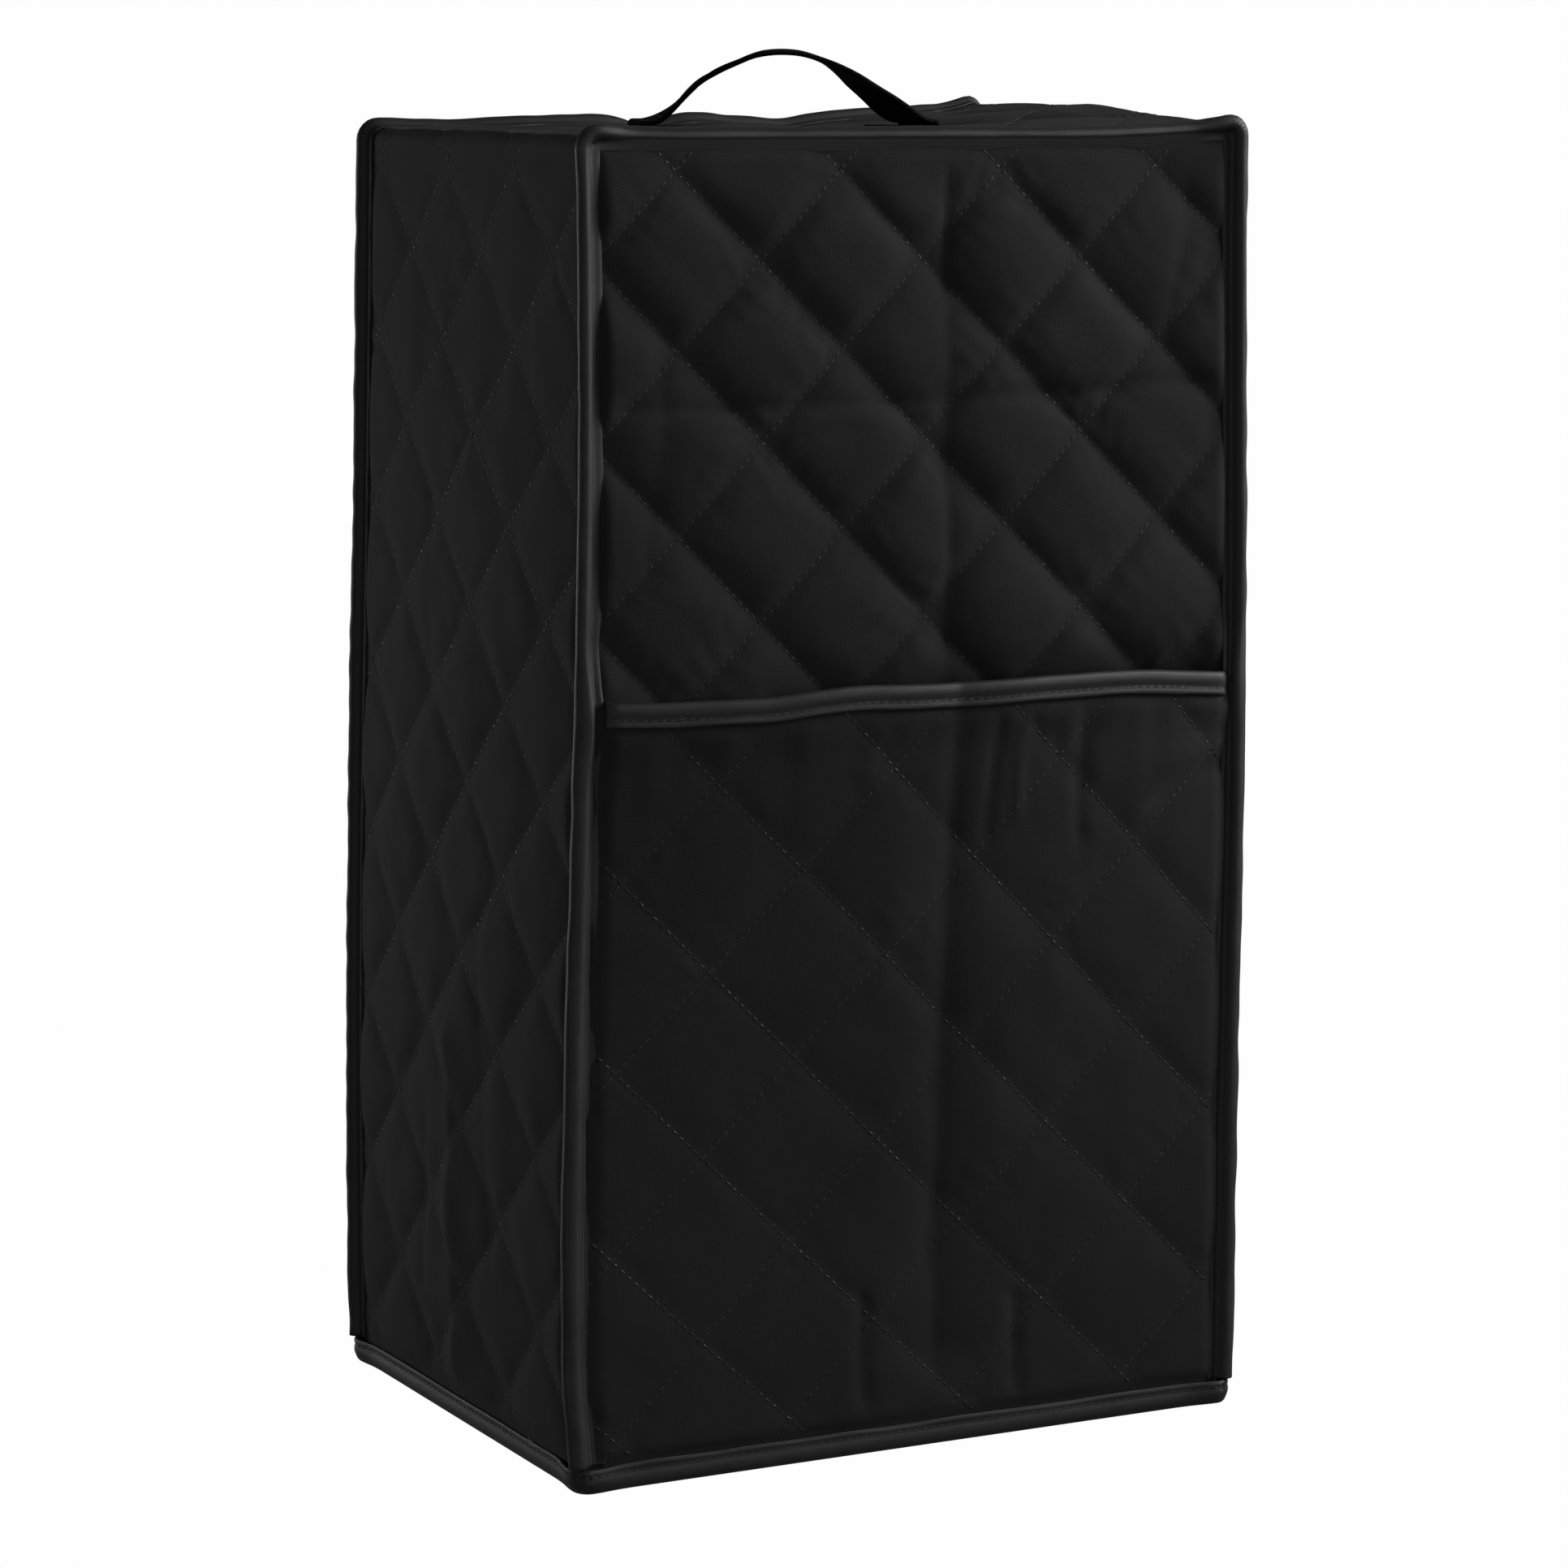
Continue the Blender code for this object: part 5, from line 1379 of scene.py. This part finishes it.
def makeTapeMaterial():
    look = finish["tape"]
    material, tree, shader = newMaterial("bindingTape", look)
    cut = addNode(tree, "ShaderNodeUVMap", uv_map="cut").outputs[0]
    # cut on the bias
    bias = addNode(tree, "ShaderNodeMapping", {
        "Vector": cut, "Rotation": (0, 0, math.radians(45)),
    }).outputs[0]
    space = addNode(tree, "ShaderNodeTexCoord").outputs["Object"]
    weave = groupNode(tree, plainWeave, {"Coordinates": bias, "Pitch": look["pitch"], "Slub": 0.6})
    mottle = groupNode(tree, slowMottle, {"Coordinates": space, "Scale": 60.0, "Amount": 0.8})
    lint = groupNode(tree, lintAndDust, {"Coordinates": space, "Density": 0.3})
    raised = addNode(tree, "ShaderNodeAttribute", attribute_name="worn").outputs["Fac"]
    rubbed = groupNode(tree, rubbedEdges, {"Raised": raised, "Coordinates": space, "Amount": 0.8})
    # the weave's Shade darkens the colour between threads as painted shade
    colour = tinted(tree, look["colour"], [weave.outputs["Shade"], mottle.outputs["Shade"]])
    worn = addNode(tree, "ShaderNodeMix", {
        0: rubbed.outputs["Mask"], 6: colour, 7: (0.020, 0.020, 0.0205, 1),
    }, data_type="RGBA")
    dusty = addNode(tree, "ShaderNodeMix", {
        0: lint.outputs["Mask"], 6: worn.outputs[2], 7: (0.12, 0.12, 0.12, 1),
    }, data_type="RGBA")
    tree.links.new(dusty.outputs[2], shader.inputs["Base Color"])
    rough = mathNode(tree, "MULTIPLY_ADD", rubbed.outputs["Mask"], -0.08, look["rough"])
    tree.links.new(rough, shader.inputs["Roughness"])
    bump = addNode(tree, "ShaderNodeBump", {
        "Height": weave.outputs["Height"], "Distance": 0.09 * mm, "Strength": 0.7,
    })
    tree.links.new(bump.outputs[0], shader.inputs["Normal"])
    return material


def makeWebbingMaterial():
    look = finish["webbing"]
    material, tree, shader = newMaterial("ribbedWebbing", look)
    cut = addNode(tree, "ShaderNodeUVMap", uv_map="cut").outputs[0]
    space = addNode(tree, "ShaderNodeTexCoord").outputs["Object"]
    weave = groupNode(tree, plainWeave, {"Coordinates": cut, "Pitch": look["pitch"], "Slub": 0.4})
    mottle = groupNode(tree, slowMottle, {"Coordinates": space, "Scale": 70.0, "Amount": 0.6})
    raised = addNode(tree, "ShaderNodeAttribute", attribute_name="worn").outputs["Fac"]
    rubbed = groupNode(tree, rubbedEdges, {"Raised": raised, "Coordinates": space, "Amount": 0.4})
    # the weave's Shade darkens the colour between threads as painted shade
    colour = tinted(tree, look["colour"], [weave.outputs["Shade"], mottle.outputs["Shade"]])
    worn = addNode(tree, "ShaderNodeMix", {
        0: rubbed.outputs["Mask"], 6: colour, 7: (0.012, 0.012, 0.012, 1),
    }, data_type="RGBA")
    tree.links.new(worn.outputs[2], shader.inputs["Base Color"])
    bump = addNode(tree, "ShaderNodeBump", {
        "Height": weave.outputs["Height"], "Distance": 0.3 * mm, "Strength": 0.9,
    })
    tree.links.new(bump.outputs[0], shader.inputs["Normal"])
    return material


def makeThreadMaterial():
    look = finish["thread"]
    material, tree, shader = newMaterial("sewingThread", look)
    space = addNode(tree, "ShaderNodeTexCoord").outputs["Object"]
    mottle = groupNode(tree, slowMottle, {"Coordinates": space, "Scale": 150.0, "Amount": 1.2})
    tree.links.new(tinted(tree, look["colour"], [mottle.outputs["Shade"]]), shader.inputs["Base Color"])
    strands = addNode(tree, "ShaderNodeTexWave", {
        "Vector": space, "Scale": 1500.0, "Distortion": 2.0,
    }, bands_direction="DIAGONAL")
    bump = addNode(tree, "ShaderNodeBump", {
        "Height": strands.outputs["Fac"], "Distance": 0.05 * mm, "Strength": 0.5,
    })
    tree.links.new(bump.outputs[0], shader.inputs["Normal"])
    return material


clothMaterial, tapeMaterial = makeClothMaterial(), makeTapeMaterial()
webbingMaterial, threadMaterial = makeWebbingMaterial(), makeThreadMaterial()
for pieces, material in (
    ((quiltedFront, quiltedBack, sideGusset, patchPocket), clothMaterial),
    ((frontTape, backTape, hemTape, pocketTape), tapeMaterial),
    ((carryStrap,), webbingMaterial),
    ((frontThread, backThread, gussetThread, pocketThread, frontSeamThread, backSeamThread), threadMaterial),
    ((hemThread, mouthThread, strapThread), threadMaterial),
):
    for piece in pieces:
        piece.data.materials.append(material)
print("finishes applied")

# How the pieces belong to the frame.
tapeWide = 26 * mm
for piece, node, slot, flat, held, under, withPieces in (
    (quiltedFront, "front_panel", "quilted_cloth", (0.248, 0.448), "hung", ["sideGusset"], [frontThread]),
    (quiltedBack, "back_panel", "quilted_cloth", (0.248, 0.448), "hung", ["sideGusset"], [backThread]),
    (sideGusset, "gusset", "quilted_cloth", (0.193, pathRun), "draped", ["hemTape"], [gussetThread]),
    (patchPocket, "pocket", "quilted_cloth", (0.248, 0.262), "hung", ["quiltedFront"], [pocketThread]),
    (frontTape, "front_binding", "binding_tape", (tapeWide, pathRun), "folded", ["quiltedFront"], [frontSeamThread]),
    (backTape, "back_binding", "binding_tape", (tapeWide, pathRun), "folded", ["quiltedBack"], [backSeamThread]),
    (hemTape, "hem_binding", "binding_tape", (22 * mm, 0.86), "folded", ["quiltedFront"], [hemThread]),
    (pocketTape, "pocket_binding", "binding_tape", (20 * mm, 0.23), "folded", ["patchPocket"], [mouthThread]),
    (carryStrap, "handle_strap", "webbing", (25 * mm, 0.148), "laid", ["sideGusset"], [strapThread]),
):
    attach(piece, "root")
    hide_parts(node)
    for part in withPieces:
        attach(part, "root")

# The studio.
studio = {
    "background": 0.99,
    "surround": 0.10,  # what the surroundings give the cloth
    "floorSize": 30.0,
    "floorGives": 0.12,
}


def seenOrGiven(tree, given, seen):
    # a plain white that the camera sees at one strength and the cloth at another
    path = addNode(tree, "ShaderNodeLightPath").outputs["Is Camera Ray"]
    strength = addNode(tree, "ShaderNodeMix", {0: path, 2: given, 3: seen}, data_type="FLOAT")
    return strength.outputs[0]


def makeFloor():
    bpy.ops.mesh.primitive_plane_add(size=studio["floorSize"], location=(0, 0, 0))
    floor = bpy.context.object
    floor.name = "paleFloor"
    material = bpy.data.materials.new("paleFloor")
    material.use_nodes = True
    tree = material.node_tree
    shader = tree.nodes["Principled BSDF"]
    shader.inputs["Base Color"].default_value = (0, 0, 0, 1)
    shader.inputs["Specular IOR Level"].default_value = 0
    shader.inputs["Emission Color"].default_value = (1, 1, 1, 1)
    tree.links.new(seenOrGiven(tree, studio["floorGives"], studio["background"]), shader.inputs["Emission Strength"])
    floor.data.materials.append(material)


def makeWorld():
    world = bpy.data.worlds.new("studioWorld")
    bpy.context.scene.world = world
    world.use_nodes = True
    tree = world.node_tree
    tree.nodes.clear()
    strength = seenOrGiven(tree, studio["surround"], studio["background"])
    sky = addNode(tree, "ShaderNodeBackground", {"Color": (1, 1, 1, 1), "Strength": strength})
    addNode(tree, "ShaderNodeOutputWorld", {0: sky.outputs[0]})


def areaLight(name, place, aim, size, power):
    light = bpy.data.lights.new(name, "AREA")
    light.shape = "RECTANGLE"
    light.size, light.size_y = size
    light.energy = power
    lamp = bpy.data.objects.new(name, light)
    bpy.context.scene.collection.objects.link(lamp)
    lamp.location = place
    back = (lamp.location - type(lamp.location)(aim)).normalized()
    lamp.rotation_euler = back.to_track_quat("Z", "Y").to_euler()
    return lamp


makeFloor()
makeWorld()
areaLight("keyLight", (1.65, -0.58, 1.05), (0, -0.09, 0.28), (0.9, 0.9), 51)
areaLight("leftLight", (-0.95, -0.5, 0.1), (-0.1, 0, 0.1), (0.3, 0.3), 0.4)
areaLight("rimLight", (-1.1, 1.9, 0.2), (-0.1, 0, 0.15), (0.5, 0.3), 9)
areaLight("frontLight", (-0.9, -2.3, 0.35), (0, 0, 0.25), (0.8, 0.6), 9.5)

camera = bpy.data.objects.new("camera", bpy.data.cameras.new("camera"))
bpy.context.scene.collection.objects.link(camera)
camera.data.sensor_width = 36
camera.data.lens = 107.54
camera.data.clip_end = 100
yaw, pitch, roll = math.radians(26.018), math.radians(8.7076), math.radians(-0.118)
turned = Matrix.Rotation(-yaw, 4, "Z") @ Matrix.Rotation(math.pi / 2 - pitch, 4, "X") @ Matrix.Rotation(roll, 4, "Z")
camera.matrix_world = Matrix.Translation((-0.71865, -1.46361, 0.46691)) @ turned
bpy.context.scene.camera = camera
bpy.context.scene.view_settings.view_transform = "Standard"
print("studio ready")
